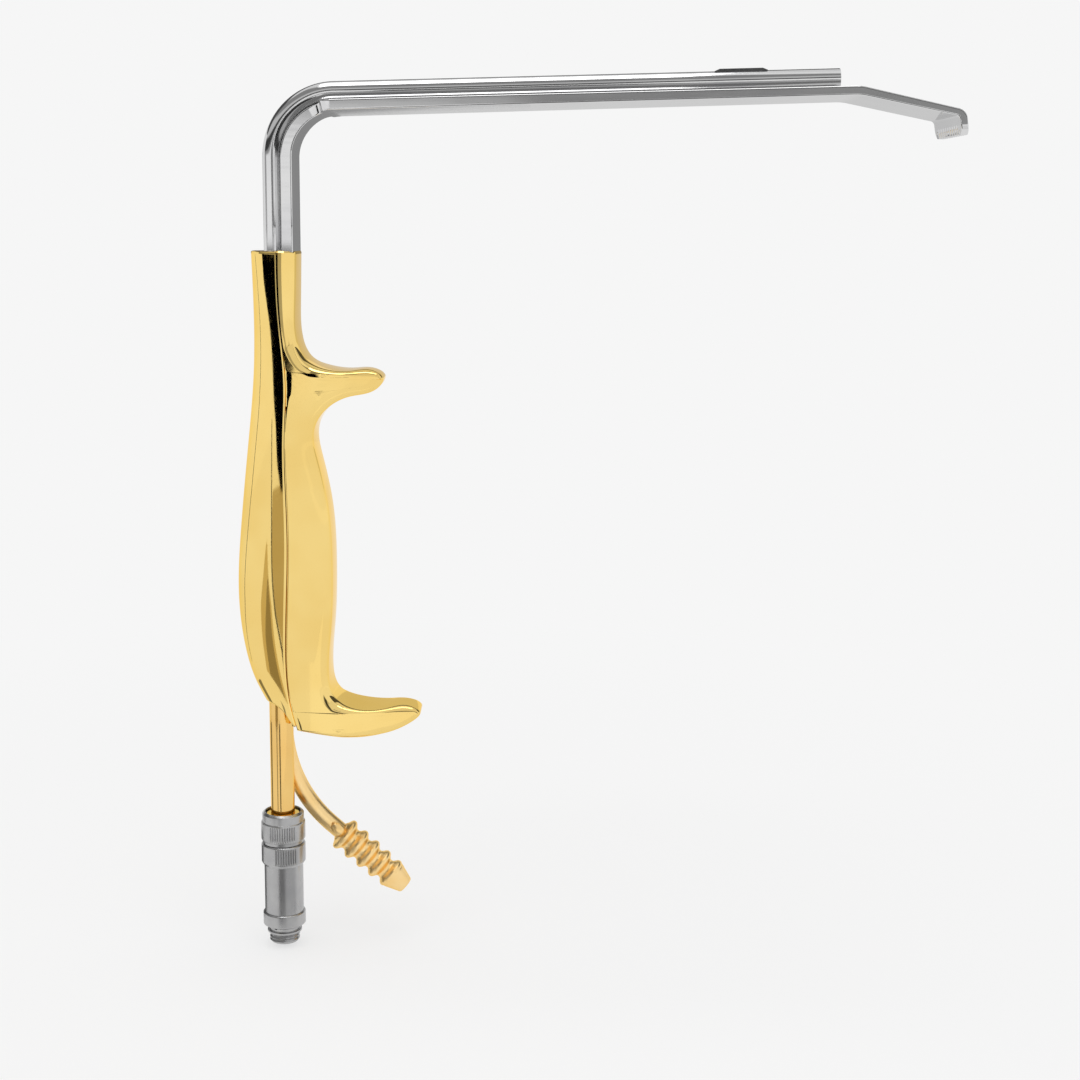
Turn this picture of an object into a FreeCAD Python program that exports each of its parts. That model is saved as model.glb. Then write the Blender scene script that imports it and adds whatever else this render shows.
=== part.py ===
import FreeCAD, Part
import Sketcher
import math
import os

# Fiber optic retractor: an L-shaped steel blade and two thin tubes in a two-part gold handle,
# with a screw-on light connector and a hose barb below it.
# Millimetres and degrees. +X runs along the blade, +Z up, +Y to the far side.
# The origin is the centre of the light inlet face at the connector's lower end,
# and the light axis rises from it along +Z.

DIMENSIONS = (
    ("tube_diameter", 5.3, "outside of the light and suction tubes"),
    ("tube_wall", 0.5, "wall of both steel tubes"),
    ("tube_spacing", 5.9, "from the light axis to the suction axis"),
    ("tube_reach", 153.2, "from the light axis to the square end of the light tube"),
    ("suction_setback", 5.0, "how much shorter the suction tube is"),
    ("bend_radius", 17.5, "middle line of the tube bend at the top of the stem"),
    ("braze_gap", 0.2, "solder line between tubes and bar"),
    ("stem_length", 42.1, "from the handle's top to the corner of the tube line"),
    ("blade_length", 180.4, "from the stem's inner face to the lip's outer face"),
    ("blade_width", 32.0, "width of the wide blade"),
    ("blade_rise", 2.0, "how far the blade opens past a right angle, in degrees"),
    ("bar_thickness", 2.6, "thickness of stem and blade"),
    ("stem_width", 16.0, "width of the stem bar"),
    ("shoulder_reach", 14.5, "from the light axis to where the blade is wide"),
    ("shoulder_radius", 3.0, "rounding of the blade's rear corners"),
    ("crank_angle", 14.0, "how far the end of the blade turns down, in degrees"),
    ("crank_run", 29.0, "length of the turned-down end"),
    ("crank_radius", 14.0, "rounding of the crank"),
    ("tip_thickness", 1.9, "thickness of the turned-down end and the lip"),
    ("lip_height", 6.3, "height of the lip"),
    ("lip_lean", 0.9, "how far the lip leans outwards over its height"),
    ("lip_radius", 3.2, "rounding on top of the lip"),
    ("lip_corner", 2.6, "rounding of the lip's lower corners"),
    ("tooth_count", 10, "teeth along the lip"),
    ("tooth_pitch", 2.7, "from tooth to tooth"),
    ("tooth_depth", 0.9, "depth of the notches"),
    ("notch_width", 1.95, "width of the notches at the lip's edge"),
    ("tang_length", 62.0, "length of the stem inside the handle"),
    ("saddle_reach", 119.4, "from the light axis to the saddle plate on the tubes"),
    ("saddle_length", 14.2, "length of the saddle plate"),
    ("saddle_height", 0.55, "how far the saddle plate stands above the tubes"),
    ("saddle_ramp", 1.3, "length of the saddle plate's ramps"),
    ("bundle_diameter", 3.6, "diameter of the fibre bundle"),
    ("ferrule_length", 7.0, "length of the ferrule at the tip of the light tube"),
    ("handle_thickness", 19.0, "handle from side to side"),
    ("handle_length", 128.6, "from the slanted lower end of the cover to the top"),
    ("cover_wall", 1.2, "wall of the half-round cover"),
    ("cover_rounding", 9.0, "rounding of the cover's back"),
    ("slant_rise", 2.7, "how much higher the slanted lower end is at the very back"),
    ("slant_drop", 5.8, "how much lower it is at the seam"),
    ("neck_front", 6.5, "from the light axis to the front of the neck"),
    ("neck_back", 6.6, "from the light axis to the back of the neck"),
    ("palm_back", 11.9, "from the light axis to the fullest back"),
    ("belly_front", 15.5, "from the light axis to the fullest front"),
    ("waist_front", 11.0, "from the light axis to the waist under the upper hook"),
    ("upper_reach", 29.9, "from the light axis to the tip of the upper hook"),
    ("upper_drop", 34.5, "from the handle's top down to the tip of the upper hook"),
    ("lower_reach", 40.0, "from the light axis to the tip of the lower hook"),
    ("lower_drop", 130.2, "from the handle's top down to the tip of the lower hook"),
    ("hook_width", 10.0, "hooks from side to side at their tips"),
    ("hook_root", 2.2, "from the grip's front to where a hook starts to narrow"),
    ("hook_headroom", 8.0, "how far above a hook's tip its narrowing starts"),
    ("hook_band", 20.0, "height over which a hook is narrowed"),
    ("edge_radius", 2.0, "rounding of the grip's edges"),
    ("cap_thickness", 1.5, "thickness of the plate in the handle's top"),
    ("plug_thickness", 3.0, "thickness of the plug in the handle's lower end"),
    ("plug_height", 5.0, "from the cover's lower end up to the plug"),
    ("post_diameter", 6.8, "outside of the gold light post"),
    ("post_wall", 0.7, "wall of the light post"),
    ("post_length", 31.7, "light post seen between connector and handle"),
    ("post_depth", 22.0, "length of the light post inside the handle"),
    ("tube_start", 3.0, "from the cover's lower end up to the light tube's lower end"),
    ("branch_diameter", 4.9, "outside of the gold suction branch"),
    ("branch_wall", 0.7, "wall of the suction branch"),
    ("branch_radius", 40.0, "middle line of the branch's bend"),
    ("branch_slope", 41.2, "how far the barb points below level, in degrees"),
    ("branch_corner", 45.5, "height at which the straight runs of the branch would meet"),
    ("branch_run", 21.2, "from that corner to the start of the barb"),
    ("sleeve_length", 12.0, "length of the sleeve that joins suction tube and branch"),
    ("sleeve_wall", 0.5, "wall of that sleeve"),
    ("barb_length", 25.4, "length of the hose barb"),
    ("barb_count", 5, "rings of the hose barb"),
    ("barb_pitch", 4.45, "from ring to ring"),
    ("barb_start", 1.8, "from the barb's root to its first ring"),
    ("barb_diameter", 9.9, "outside of the first ring"),
    ("barb_taper", 0.26, "how much smaller each next ring is"),
    ("valley_diameter", 7.2, "waist after the first ring"),
    ("valley_taper", 0.3, "how much smaller each next waist is"),
    ("nose_diameter", 4.9, "end of the barb"),
    ("barb_bore", 3.2, "bore of the barb"),
    ("rim_height", 39.7, "length of the whole connector"),
    ("nut_diameter", 12.0, "upper part of the union nut"),
    ("nut_top", 2.9, "length of that upper part"),
    ("ring_diameter", 12.7, "outside of both knurled rings"),
    ("ring_length", 5.5, "length of each knurled ring"),
    ("neck_diameter", 11.7, "neck of the union nut"),
    ("neck_length", 1.0, "length of that neck"),
    ("mouth_diameter", 10.2, "mouth of the union nut"),
    ("mouth_depth", 2.3, "depth of the nut's mouth"),
    ("nipple_diameter", 8.6, "outside of the threaded nipple on the post"),
    ("nipple_length", 9.6, "length of the nipple below its flange"),
    ("nipple_ledge", 3.0, "from the nipple's lower end up to the light post"),
    ("bundle_sleeve", 8.0, "length of the sleeve round the fibres in the nipple"),
    ("flange_diameter", 9.4, "flange of the nipple"),
    ("flange_thickness", 1.0, "thickness of that flange"),
    ("flange_recess", 0.6, "how deep the flange sits in the nut's mouth"),
    ("seal_diameter", 9.9, "outside of the black seal ring"),
    ("seal_thickness", 0.6, "thickness of the seal ring"),
    ("running_gap", 0.05, "radial clearance of what turns or slides"),
    ("end_gap", 0.1, "clearance between faces that turn past each other"),
    ("barrel_diameter", 11.2, "outside of the adapter's barrel"),
    ("barrel_bore", 8.8, "bore of the barrel"),
    ("spigot_diameter", 10.0, "spigot of the barrel inside the nut"),
    ("spigot_length", 3.8, "length of that spigot"),
    ("clip_height", 1.4, "from the barrel's shoulder to the retaining ring"),
    ("clip_thickness", 0.8, "thickness of the retaining ring"),
    ("clip_depth", 0.3, "depth of the retaining ring's groove in the spigot"),
    ("clip_stand", 0.45, "how far the retaining ring stands out of the spigot"),
    ("ring_chamfer", 0.9, "chamfer under the lower knurled ring"),
    ("collar_diameter", 12.3, "outside of the lower collar"),
    ("collar_top", 9.3, "height of the collar's upper face"),
    ("collar_bottom", 4.9, "height of the collar's lower face"),
    ("collar_chamfer", 0.7, "height of the collar's lower bevel"),
    ("barrel_bottom", 6.6, "height of the barrel's lower face"),
    ("thread_diameter", 8.8, "outside of the cable thread"),
    ("thread_length", 2.6, "length of the cable thread"),
    ("lead_diameter", 7.8, "plain end below the thread"),
    ("lead_length", 0.5, "length of that plain end"),
    ("stop_diameter", 10.0, "stop ring above the thread"),
    ("stop_thickness", 0.6, "thickness of the stop ring"),
    ("end_length", 9.0, "length of the threaded end with its seat in the barrel"),
    ("rod_diameter", 5.0, "diameter of the glass rod"),
    ("rod_length", 27.6, "length of the glass rod"),
    ("screw_diameter", 1.2, "diameter of the set screw"),
    ("screw_turn", 18.0, "how far round from the near side the set screw is, in degrees"),
    ("screw_height", 5.7, "height of the set screw"),
    ("screw_length", 1.8, "length of the set screw"),
    ("screw_seat", 0.4, "how deep the set screw reaches into the threaded end"),
    ("barb_socket", 4.0, "how deep the branch sits in the barb"),
    ("fitting_gap", 0.3, "clearance round tubes inside the handle"),
    ("tang_screw", 2.5, "shank of the tang screws"),
    ("tang_head", 4.6, "head of the tang screws"),
    ("tang_screw_length", 4.6, "length of the tang screws"),
    ("tang_screw_top", 30.0, "from the handle's top down to the upper tang screw"),
    ("tang_screw_step", 22.0, "from tang screw to tang screw"),
)

document = FreeCAD.newDocument("fiber_optic_retractor")
sheet = document.addObject("Spreadsheet::Sheet", "Dimensions")
for row, (name, number, note) in enumerate(DIMENSIONS, start=1):
    sheet.set("A%d" % row, name)
    sheet.set("B%d" % row, str(number))
    sheet.setAlias("B%d" % row, name)
    sheet.set("C%d" % row, note)
document.recompute()


class Size:
    """A length or an angle: its value, and the expression on the sheet that it comes from."""

    def __init__(self, value, text):
        self.value = value
        self.text = text

    def __add__(self, other):
        other = sized(other)
        return Size(self.value + other.value, "(%s + %s)" % (self.text, other.text))

    def __sub__(self, other):
        other = sized(other)
        return Size(self.value - other.value, "(%s - %s)" % (self.text, other.text))

    def __mul__(self, other):
        other = sized(other)
        return Size(self.value * other.value, "(%s * %s)" % (self.text, other.text))

    def __truediv__(self, other):
        other = sized(other)
        return Size(self.value / other.value, "(%s / %s)" % (self.text, other.text))

    def __radd__(self, other):
        return sized(other) + self

    def __rsub__(self, other):
        return sized(other) - self

    def __rmul__(self, other):
        return sized(other) * self

    def __rtruediv__(self, other):
        return sized(other) / self

    def __neg__(self):
        return sized(0) - self


def sized(number):
    """A Size as it is, or a plain number as a Size."""
    return number if isinstance(number, Size) else Size(float(number), repr(float(number)))


def driving(name):
    """The Size of one cell of the sheet."""
    return Size(float(sheet.get(name)), "Dimensions." + name)


def sine(angle):
    return Size(math.sin(math.radians(angle.value)), "sin(%s * 1 deg)" % angle.text)


def cosine(angle):
    return Size(math.cos(math.radians(angle.value)), "cos(%s * 1 deg)" % angle.text)


def tangent(angle):
    return Size(math.tan(math.radians(angle.value)), "tan(%s * 1 deg)" % angle.text)


S = {name: driving(name) for name, number, note in DIMENSIONS}

# Heights along the light axis, from the inlet face up.
NUT_BOTTOM = S["rim_height"] - S["nut_top"] - S["ring_length"] - S["neck_length"]
SHOULDER = NUT_BOTTOM - S["end_gap"]
MOUTH_FLOOR = S["rim_height"] - S["mouth_depth"]
FLANGE_TOP = S["rim_height"] - S["flange_recess"]
FLANGE_BOTTOM = FLANGE_TOP - S["flange_thickness"]
NIPPLE_BOTTOM = FLANGE_BOTTOM - S["nipple_length"]
COVER_END = S["rim_height"] + S["post_length"]
HANDLE_TOP = COVER_END + S["handle_length"]
CORNER = HANDLE_TOP + S["stem_length"]

# Distances from the light axis to the faces of the bar.
TUBE_RADIUS = S["tube_diameter"] / 2
BAR_BACK = TUBE_RADIUS + S["braze_gap"]
BAR_FRONT = BAR_BACK + S["bar_thickness"]

# The handle's and blade's middle plane lies between the light axis and the suction axis.
MIDDLE = S["tube_spacing"] / 2
HALF_HANDLE = S["handle_thickness"] / 2

# Front of the channel that holds the tubes inside the handle.
CHANNEL_FRONT = S["post_diameter"] / 2 + S["fitting_gap"]

# How far a cutting outline reaches past the face that it cuts.
OVERCUT = 1.0


def bind(thing, field, size):
    """Bind one property of a document object to the sheet."""
    thing.setExpression(field, sized(size).text)


def new_body(label, shift_y=None):
    """A body with its own label; shift_y moves it bodily along Y."""
    body = document.addObject("PartDesign::Body", label)
    body.Label = label
    if shift_y is not None:
        bind(body, "Placement.Base.y", shift_y)
    return body


def origin_plane(body, role):
    return [item for item in body.Origin.OriginFeatures if item.Role == role][0]


def new_sketch(body, name, role, offset=None):
    """A sketch on one of the body's own origin planes, offset along the plane's normal."""
    sketch = body.newObject("Sketcher::SketchObject", name)
    sketch.AttachmentSupport = [(origin_plane(body, role), "")]
    sketch.MapMode = "FlatFace"
    if offset is not None:
        bind(sketch, "AttachmentOffset.Base.z", offset)
    return sketch


def place_point(sketch, geometry, end, across, up):
    """Fix a point of the sketch at a place given by two Sizes."""
    for kind, size in (("DistanceX", sized(across)), ("DistanceY", sized(up))):
        index = sketch.addConstraint(Sketcher.Constraint(kind, -1, 1, geometry, end, size.value))
        sketch.setExpression("Constraints[%d]" % index, size.text)


def straight_outline(sketch, corners):
    """A closed outline of straight lines with every corner bound to the sheet."""
    points = [FreeCAD.Vector(sized(x).value, sized(z).value, 0) for x, z in corners]
    first = sketch.GeometryCount
    count = len(points)
    lines = [Part.LineSegment(points[i], points[(i + 1) % count]) for i in range(count)]
    sketch.addGeometry(lines)
    for i in range(count):
        sketch.addConstraint(Sketcher.Constraint("Coincident", first + i, 2, first + (i + 1) % count, 1))
    for i, (x, z) in enumerate(corners):
        place_point(sketch, first + i, 1, x, z)


def circle(sketch, radius, across=0, up=0):
    """A circle with its radius and centre bound to the sheet."""
    centre = FreeCAD.Vector(sized(across).value, sized(up).value, 0)
    index = sketch.addGeometry(Part.Circle(centre, FreeCAD.Vector(0, 0, 1), sized(radius).value))
    fixed = sketch.addConstraint(Sketcher.Constraint("Radius", index, sized(radius).value))
    sketch.setExpression("Constraints[%d]" % fixed, sized(radius).text)
    place_point(sketch, index, 3, across, up)


def pad(body, sketch, length, middle=False):
    feature = body.newObject("PartDesign::Pad", sketch.Name + "_pad")
    feature.Profile = sketch
    feature.Midplane = middle
    bind(feature, "Length", length)
    document.recompute()
    return feature


def pocket(body, sketch, length, middle=False):
    """Cut from the sketch against its normal, or to both sides of it."""
    before = body.Shape.Volume
    feature = body.newObject("PartDesign::Pocket", sketch.Name + "_pocket")
    feature.Profile = sketch
    feature.Midplane = middle
    bind(feature, "Length", length)
    document.recompute()
    if feature.Shape.Volume >= before:
        raise RuntimeError(sketch.Name + " cuts nothing")
    return feature


def turned_body(label, corners, shift_y=None):
    """A piece turned about the light axis: its outline gives radius and height."""
    body = new_body(label, shift_y)
    sketch = new_sketch(body, label + "_outline", "XZ_Plane")
    straight_outline(sketch, corners)
    turning = body.newObject("PartDesign::Revolution", label + "_turning")
    turning.Profile = sketch
    turning.ReferenceAxis = (sketch, ["V_Axis"])
    turning.Angle = 360
    document.recompute()
    return body


def edges_near(shape, places, tolerance=0.05):
    """Names of the edges whose middle is at one of the places; None leaves a coordinate free."""
    names = []
    for number, edge in enumerate(shape.Edges, start=1):
        middle = edge.CenterOfMass
        for place in places:
            pairs = zip(place, (middle.x, middle.y, middle.z))
            if all(wanted is None or abs(wanted - found) < tolerance for wanted, found in pairs):
                names.append("Edge%d" % number)
                break
    return names


def fillet(body, base, names, radius):
    feature = body.newObject("PartDesign::Fillet", base.Name + "_round")
    feature.Base = (base, names)
    bind(feature, "Radius", radius)
    document.recompute()
    return feature


def bent_path(body, name, start, corner, slope, radius, end):
    """Middle line of a bent tube in the XZ plane: up or down the axis, an arc, a straight run.

    start is the height of its first point, corner the height at which the two straight runs
    would meet, slope the second run's angle to level and end how far along X it reaches.
    """
    sketch = new_sketch(body, name, "XZ_Plane")
    rising = 1 if start.value < corner.value else -1
    turn = math.radians(90 - rising * slope.value)
    setback = radius.value * math.tan(turn / 2)
    heading = math.radians(slope.value)
    corner_point = FreeCAD.Vector(0, corner.value, 0)
    along = FreeCAD.Vector(math.cos(heading), math.sin(heading), 0)
    bottom = FreeCAD.Vector(0, start.value, 0)
    bend_in = FreeCAD.Vector(0, corner.value - rising * setback, 0)
    bend_out = corner_point + along * setback
    far = corner_point + along * (end.value / math.cos(heading))
    ring = Part.Circle(FreeCAD.Vector(radius.value, bend_in.y, 0), FreeCAD.Vector(0, 0, 1), radius.value)
    ends = [1, 2]
    if rising > 0:
        bend = Part.ArcOfCircle(ring, math.pi - turn, math.pi)
        ends.reverse()
    else:
        bend = Part.ArcOfCircle(ring, math.pi, math.pi + turn)
    sketch.addGeometry([Part.LineSegment(bottom, bend_in), bend, Part.LineSegment(bend_out, far)])
    sketch.addConstraint(Sketcher.Constraint("Tangent", 0, 2, 1, ends[0]))
    sketch.addConstraint(Sketcher.Constraint("Tangent", 1, ends[1], 2, 1))
    sketch.addConstraint(Sketcher.Constraint("Vertical", 0))
    place_point(sketch, 0, 1, 0, start)
    index = sketch.addConstraint(Sketcher.Constraint("Radius", 1, radius.value))
    sketch.setExpression("Constraints[%d]" % index, radius.text)
    place_point(sketch, 2, 2, end, corner + end * tangent(slope))
    index = sketch.addConstraint(Sketcher.Constraint("Angle", 2, heading))
    sketch.setExpression("Constraints[%d]" % index, "%s * 1 deg" % slope.text)
    return sketch


def swept_tube(label, radius, bore, start, corner, slope, bend, end, shift_y=None):
    """A round tube or rod along a bent path; bore is None for a solid rod."""
    body = new_body(label, shift_y)
    section = new_sketch(body, label + "_section", "XY_Plane", start)
    circle(section, radius)
    if bore is not None:
        circle(section, bore)
    path = bent_path(body, label + "_path", start, corner, slope, bend, end)
    pipe = body.newObject("PartDesign::AdditivePipe", label + "_pipe")
    pipe.Profile = section
    pipe.Spine = (path, ["Edge1", "Edge2", "Edge3"])
    document.recompute()
    return body


def along_blade(reach, below):
    """Height of a line that runs along the blade, below the tube's middle line."""
    return CORNER + reach * tangent(S["blade_rise"]) - below / cosine(S["blade_rise"])


def bar_corner(inward):
    """Where stem and blade lines meet, that far inside the tube's middle line."""
    rise = S["blade_rise"]
    return CORNER - inward * (1 - sine(rise)) / cosine(rise)


def beside_stem(sketch, side):
    """What is cut away beside the stem, seen from above, with both corners of the shoulder round."""
    inner = S["stem_width"].value / 2 * side
    outer = S["blade_width"].value / 2 * side
    reach = S["shoulder_reach"].value
    radius = S["shoulder_radius"].value
    step = radius * side
    behind = -S["bend_radius"].value
    slack = radius * math.sqrt(0.5)
    point = FreeCAD.Vector
    corners = [
        Part.LineSegment(point(behind, inner), point(reach - radius, inner)),
        Part.Arc(point(reach - radius, inner),
                 point(reach - radius + slack, inner + step - slack * side),
                 point(reach, inner + step)),
        Part.LineSegment(point(reach, inner + step), point(reach, outer - step)),
        Part.Arc(point(reach, outer - step),
                 point(reach + radius - slack, outer - step + slack * side),
                 point(reach + radius, outer)),
        Part.LineSegment(point(reach + radius, outer), point(reach + radius, outer + step)),
        Part.LineSegment(point(reach + radius, outer + step), point(behind, outer + step)),
        Part.LineSegment(point(behind, outer + step), point(behind, inner)),
    ]
    sketch.addGeometry(corners)


def make_blade():
    """The L-shaped bar: tang, stem, wide blade, cranked end and toothed lip."""
    body = new_body("blade_blank", MIDDLE)
    lip = BAR_FRONT + S["blade_length"]
    crank = lip - S["crank_run"]
    fall = S["blade_rise"] - S["crank_angle"]
    lip_root = lip - S["lip_lean"]
    root_top = along_blade(crank, BAR_BACK) + (lip_root - crank) * tangent(fall)
    inner = lip_root - S["tip_thickness"]
    inner_top = root_top - S["tip_thickness"] * (tangent(fall) + 1 / cosine(fall))
    lip_bottom = root_top - S["lip_height"]
    tang_end = HANDLE_TOP - S["tang_length"]
    sketch = new_sketch(body, "blade_outline", "XZ_Plane")
    corners = (
        (BAR_BACK, tang_end),
        (BAR_BACK, bar_corner(BAR_BACK)),
        (crank, along_blade(crank, BAR_BACK)),
        (lip_root, root_top),
        (lip, lip_bottom),
        (lip - S["tip_thickness"], lip_bottom),
        (inner, inner_top),
        (crank, along_blade(crank, BAR_FRONT)),
        (BAR_FRONT, bar_corner(BAR_FRONT)),
        (BAR_FRONT, tang_end),
    )
    straight_outline(sketch, corners)
    last = pad(body, sketch, S["blade_width"], middle=True)
    roundings = (
        (8, S["bend_radius"] - BAR_FRONT),
        (1, S["bend_radius"] - BAR_BACK),
        (2, S["crank_radius"]),
        (7, S["crank_radius"]),
        (3, S["lip_radius"]),
        (6, S["lip_radius"] - S["tip_thickness"]),
    )
    for corner, radius in roundings:
        x, z = corners[corner]
        last = fillet(body, last, edges_near(last.Shape, [(x.value, 0, z.value)]), radius)
    half_blade = S["blade_width"] / 2
    sides = new_sketch(body, "stem_sides", "XY_Plane")
    for side in (1, -1):
        beside_stem(sides, side)
    last = pocket(body, sides, CORNER * 3, middle=True)
    middle_of_lip = (lip - S["tip_thickness"] / 2).value
    places = [(middle_of_lip, side * half_blade.value, lip_bottom.value) for side in (1, -1)]
    last = fillet(body, last, edges_near(last.Shape, places, 0.3), S["lip_corner"])
    tooth = new_sketch(body, "tooth_notch", "YZ_Plane", lip + OVERCUT)
    span = S["tooth_pitch"] * (S["tooth_count"] - 1)
    first = -span / 2
    half_notch = S["notch_width"] / 2
    straight_outline(tooth, (
        (first - half_notch, lip_bottom - OVERCUT),
        (first + half_notch, lip_bottom - OVERCUT),
        (first + half_notch, lip_bottom),
        (first, lip_bottom + S["tooth_depth"]),
        (first - half_notch, lip_bottom),
    ))
    notch = pocket(body, tooth, S["tip_thickness"] * 2 + OVERCUT)
    teeth = body.newObject("PartDesign::LinearPattern", "teeth")
    teeth.Originals = [notch]
    teeth.Direction = (tooth, ["H_Axis"])
    bind(teeth, "Length", span)
    bind(teeth, "Occurrences", S["tooth_count"])
    body.Tip = teeth
    document.recompute()
    return body


def cut(label, base, tools):
    """Base without the tools, as a sub-part of its own."""
    if len(tools) > 1:
        tool = document.addObject("Part::MultiFuse", label + "_tools")
        tool.Shapes = tools
    else:
        tool = tools[0]
    result = document.addObject("Part::Cut", label)
    result.Label = label
    result.Base = base
    result.Tool = tool
    document.recompute()
    return result


def make_tang_screws():
    """Two flush screws that hold the tang in the grip, each a cone on a cylinder along X."""
    screws = []
    lengthwise = FreeCAD.Rotation(FreeCAD.Vector(0, 1, 0), 90)
    for number in (0, 1):
        height = HANDLE_TOP - S["tang_screw_top"] - S["tang_screw_step"] * number
        head_height = (S["tang_head"] - S["tang_screw"]) / 2
        head = document.addObject("Part::Cone", "tang_screw_head%d" % number)
        bind(head, "Radius1", S["tang_head"] / 2)
        bind(head, "Radius2", S["tang_screw"] / 2)
        bind(head, "Height", head_height)
        shank = document.addObject("Part::Cylinder", "tang_screw_shank%d" % number)
        bind(shank, "Radius", S["tang_screw"] / 2)
        bind(shank, "Height", S["tang_screw_length"])
        for piece in (head, shank):
            piece.Placement = FreeCAD.Placement(FreeCAD.Vector(), lengthwise)
            bind(piece, "Placement.Base.x", BAR_BACK)
            bind(piece, "Placement.Base.y", MIDDLE)
            bind(piece, "Placement.Base.z", height)
        screw = document.addObject("Part::Fuse", "tang_screw%d" % number)
        screw.Base = head
        screw.Tool = shank
        screws.append(screw)
    group = document.addObject("Part::Compound", "tang_screws")
    group.Label = "tang_screws"
    group.Links = screws
    document.recompute()
    return group


def vector(x, z):
    return FreeCAD.Vector(sized(x).value, sized(z).value, 0)


def through(points):
    """A smooth curve through the points."""
    curve = Part.BSplineCurve()
    curve.interpolate(points)
    return curve


def seam_curve():
    """Side view of the line where cover and grip meet, from the handle's top down."""
    top = HANDLE_TOP.value
    full = S["handle_length"].value
    return through([
        vector(1.5, top),
        vector(2.0, top - 0.14 * full),
        vector(3.5, top - 0.28 * full),
        vector(3.0, top - 0.39 * full),
        vector(3.3, top - 0.62 * full),
        vector(2.4, top - 0.87 * full),
        vector(3.6, top - 0.99 * full),
        vector(5.4, top - 1.045 * full),
    ])


def front_points():
    """Front of the grip in side view, from the top over both hooks to the lower end of the seam."""
    top = HANDLE_TOP.value
    neck = S["neck_front"].value
    waist = S["waist_front"].value
    belly = S["belly_front"].value
    upper = S["upper_reach"].value
    upper_tip = top - S["upper_drop"].value
    lower = S["lower_reach"].value
    lower_tip = top - S["lower_drop"].value
    between = upper_tip - lower_tip
    return (
        (neck, top),
        (neck - 0.4, upper_tip + 0.58 * S["upper_drop"].value),
        (neck + 0.1, upper_tip + 10.2),
        (neck + 2.6, upper_tip + 5.1),
        (neck + 7.6, upper_tip + 2.7),
        (upper - 9.0, upper_tip + 2.1),
        (upper - 2.3, upper_tip + 2.0),
        (upper, upper_tip),
        (upper - 1.6, upper_tip - 2.8),
        (upper - 9.2, upper_tip - 5.1),
        (waist + 3.6, upper_tip - 8.3),
        (waist, upper_tip - 0.145 * between),
        (waist + 0.2 * (belly - waist), upper_tip - 0.245 * between),
        (waist + 0.76 * (belly - waist), upper_tip - 0.37 * between),
        (belly, upper_tip - 0.56 * between),
        (belly - 0.6, upper_tip - 0.745 * between),
        (belly - 1.4, lower_tip + 12.2),
        (belly + 0.4, lower_tip + 4.9),
        (belly + 7.3, lower_tip + 1.6),
        (lower - 8.8, lower_tip + 1.7),
        (lower - 3.1, lower_tip + 1.9),
        (lower, lower_tip),
        (lower - 3.4, lower_tip - 3.5),
        (lower - 10.3, lower_tip - 6.1),
        (lower - 19.0, lower_tip - 6.7),
        (lower - 27.7, lower_tip - 5.6),
        (lower - 34.6, lower_tip - 4.2),
    )


def hook_sides(sketch, root, tip):
    """What is cut away beside a hook, seen from above, so that it narrows towards its tip."""
    half = HALF_HANDLE.value
    narrow = S["hook_width"].value / 2
    drop = half - narrow
    run = tip - root
    beyond = tip + half
    for side in (1, -1):
        curve = through([FreeCAD.Vector(root + along * run, side * (half - share * drop), 0)
                         for along, share in ((0, 0), (0.3, 0.25), (0.65, 0.72), (1.0, 1.0), (1.3, 1.1))])
        near, far = curve.StartPoint, curve.EndPoint
        outer_far = FreeCAD.Vector(beyond, side * half * 2, 0)
        outer_near = FreeCAD.Vector(root, side * half * 2, 0)
        inner_far = FreeCAD.Vector(beyond, far.y, 0)
        sketch.addGeometry([
            curve,
            Part.LineSegment(far, inner_far),
            Part.LineSegment(inner_far, outer_far),
            Part.LineSegment(outer_far, outer_near),
            Part.LineSegment(outer_near, near),
        ])


def make_front_grip():
    """The flat-sided grip with its two finger hooks, slotted behind for the tang and the tubes."""
    body = new_body("grip_blank", MIDDLE)
    sketch = new_sketch(body, "grip_outline", "XZ_Plane")
    seam = seam_curve()
    front = through([vector(x, z) for x, z in front_points()])
    sketch.addGeometry(front)
    sketch.addGeometry(seam)
    sketch.addGeometry(Part.LineSegment(front.EndPoint, seam.EndPoint))
    sketch.addGeometry(Part.LineSegment(seam.StartPoint, front.StartPoint))
    last = pad(body, sketch, S["handle_thickness"], middle=True)
    hooks = (
        ("upper_hook", S["waist_front"], S["upper_reach"], HANDLE_TOP - S["upper_drop"]),
        ("lower_hook", S["belly_front"], S["lower_reach"], HANDLE_TOP - S["lower_drop"]),
    )
    for name, front_face, tip, height in hooks:
        sides = new_sketch(body, name + "_sides", "XY_Plane", height + S["hook_headroom"])
        hook_sides(sides, (front_face + S["hook_root"]).value, tip.value)
        last = pocket(body, sides, S["hook_band"])
    last = fillet(body, last, rounded_edges(last.Shape, seam), S["edge_radius"])
    channel = new_sketch(body, "tube_channel", "XY_Plane", HANDLE_TOP)
    half = MIDDLE + S["post_diameter"] / 2 + S["fitting_gap"]
    behind = -S["palm_back"]
    straight_outline(channel, (
        (behind, -half), (CHANNEL_FRONT, -half), (CHANNEL_FRONT, half), (behind, half)))
    last = pocket(body, channel, S["handle_length"] * 2)
    slot = new_sketch(body, "tang_slot", "XY_Plane", HANDLE_TOP)
    half = S["stem_width"] / 2
    straight_outline(slot, ((behind, -half), (BAR_FRONT, -half), (BAR_FRONT, half), (behind, half)))
    last = pocket(body, slot, S["tang_length"])
    return body


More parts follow.
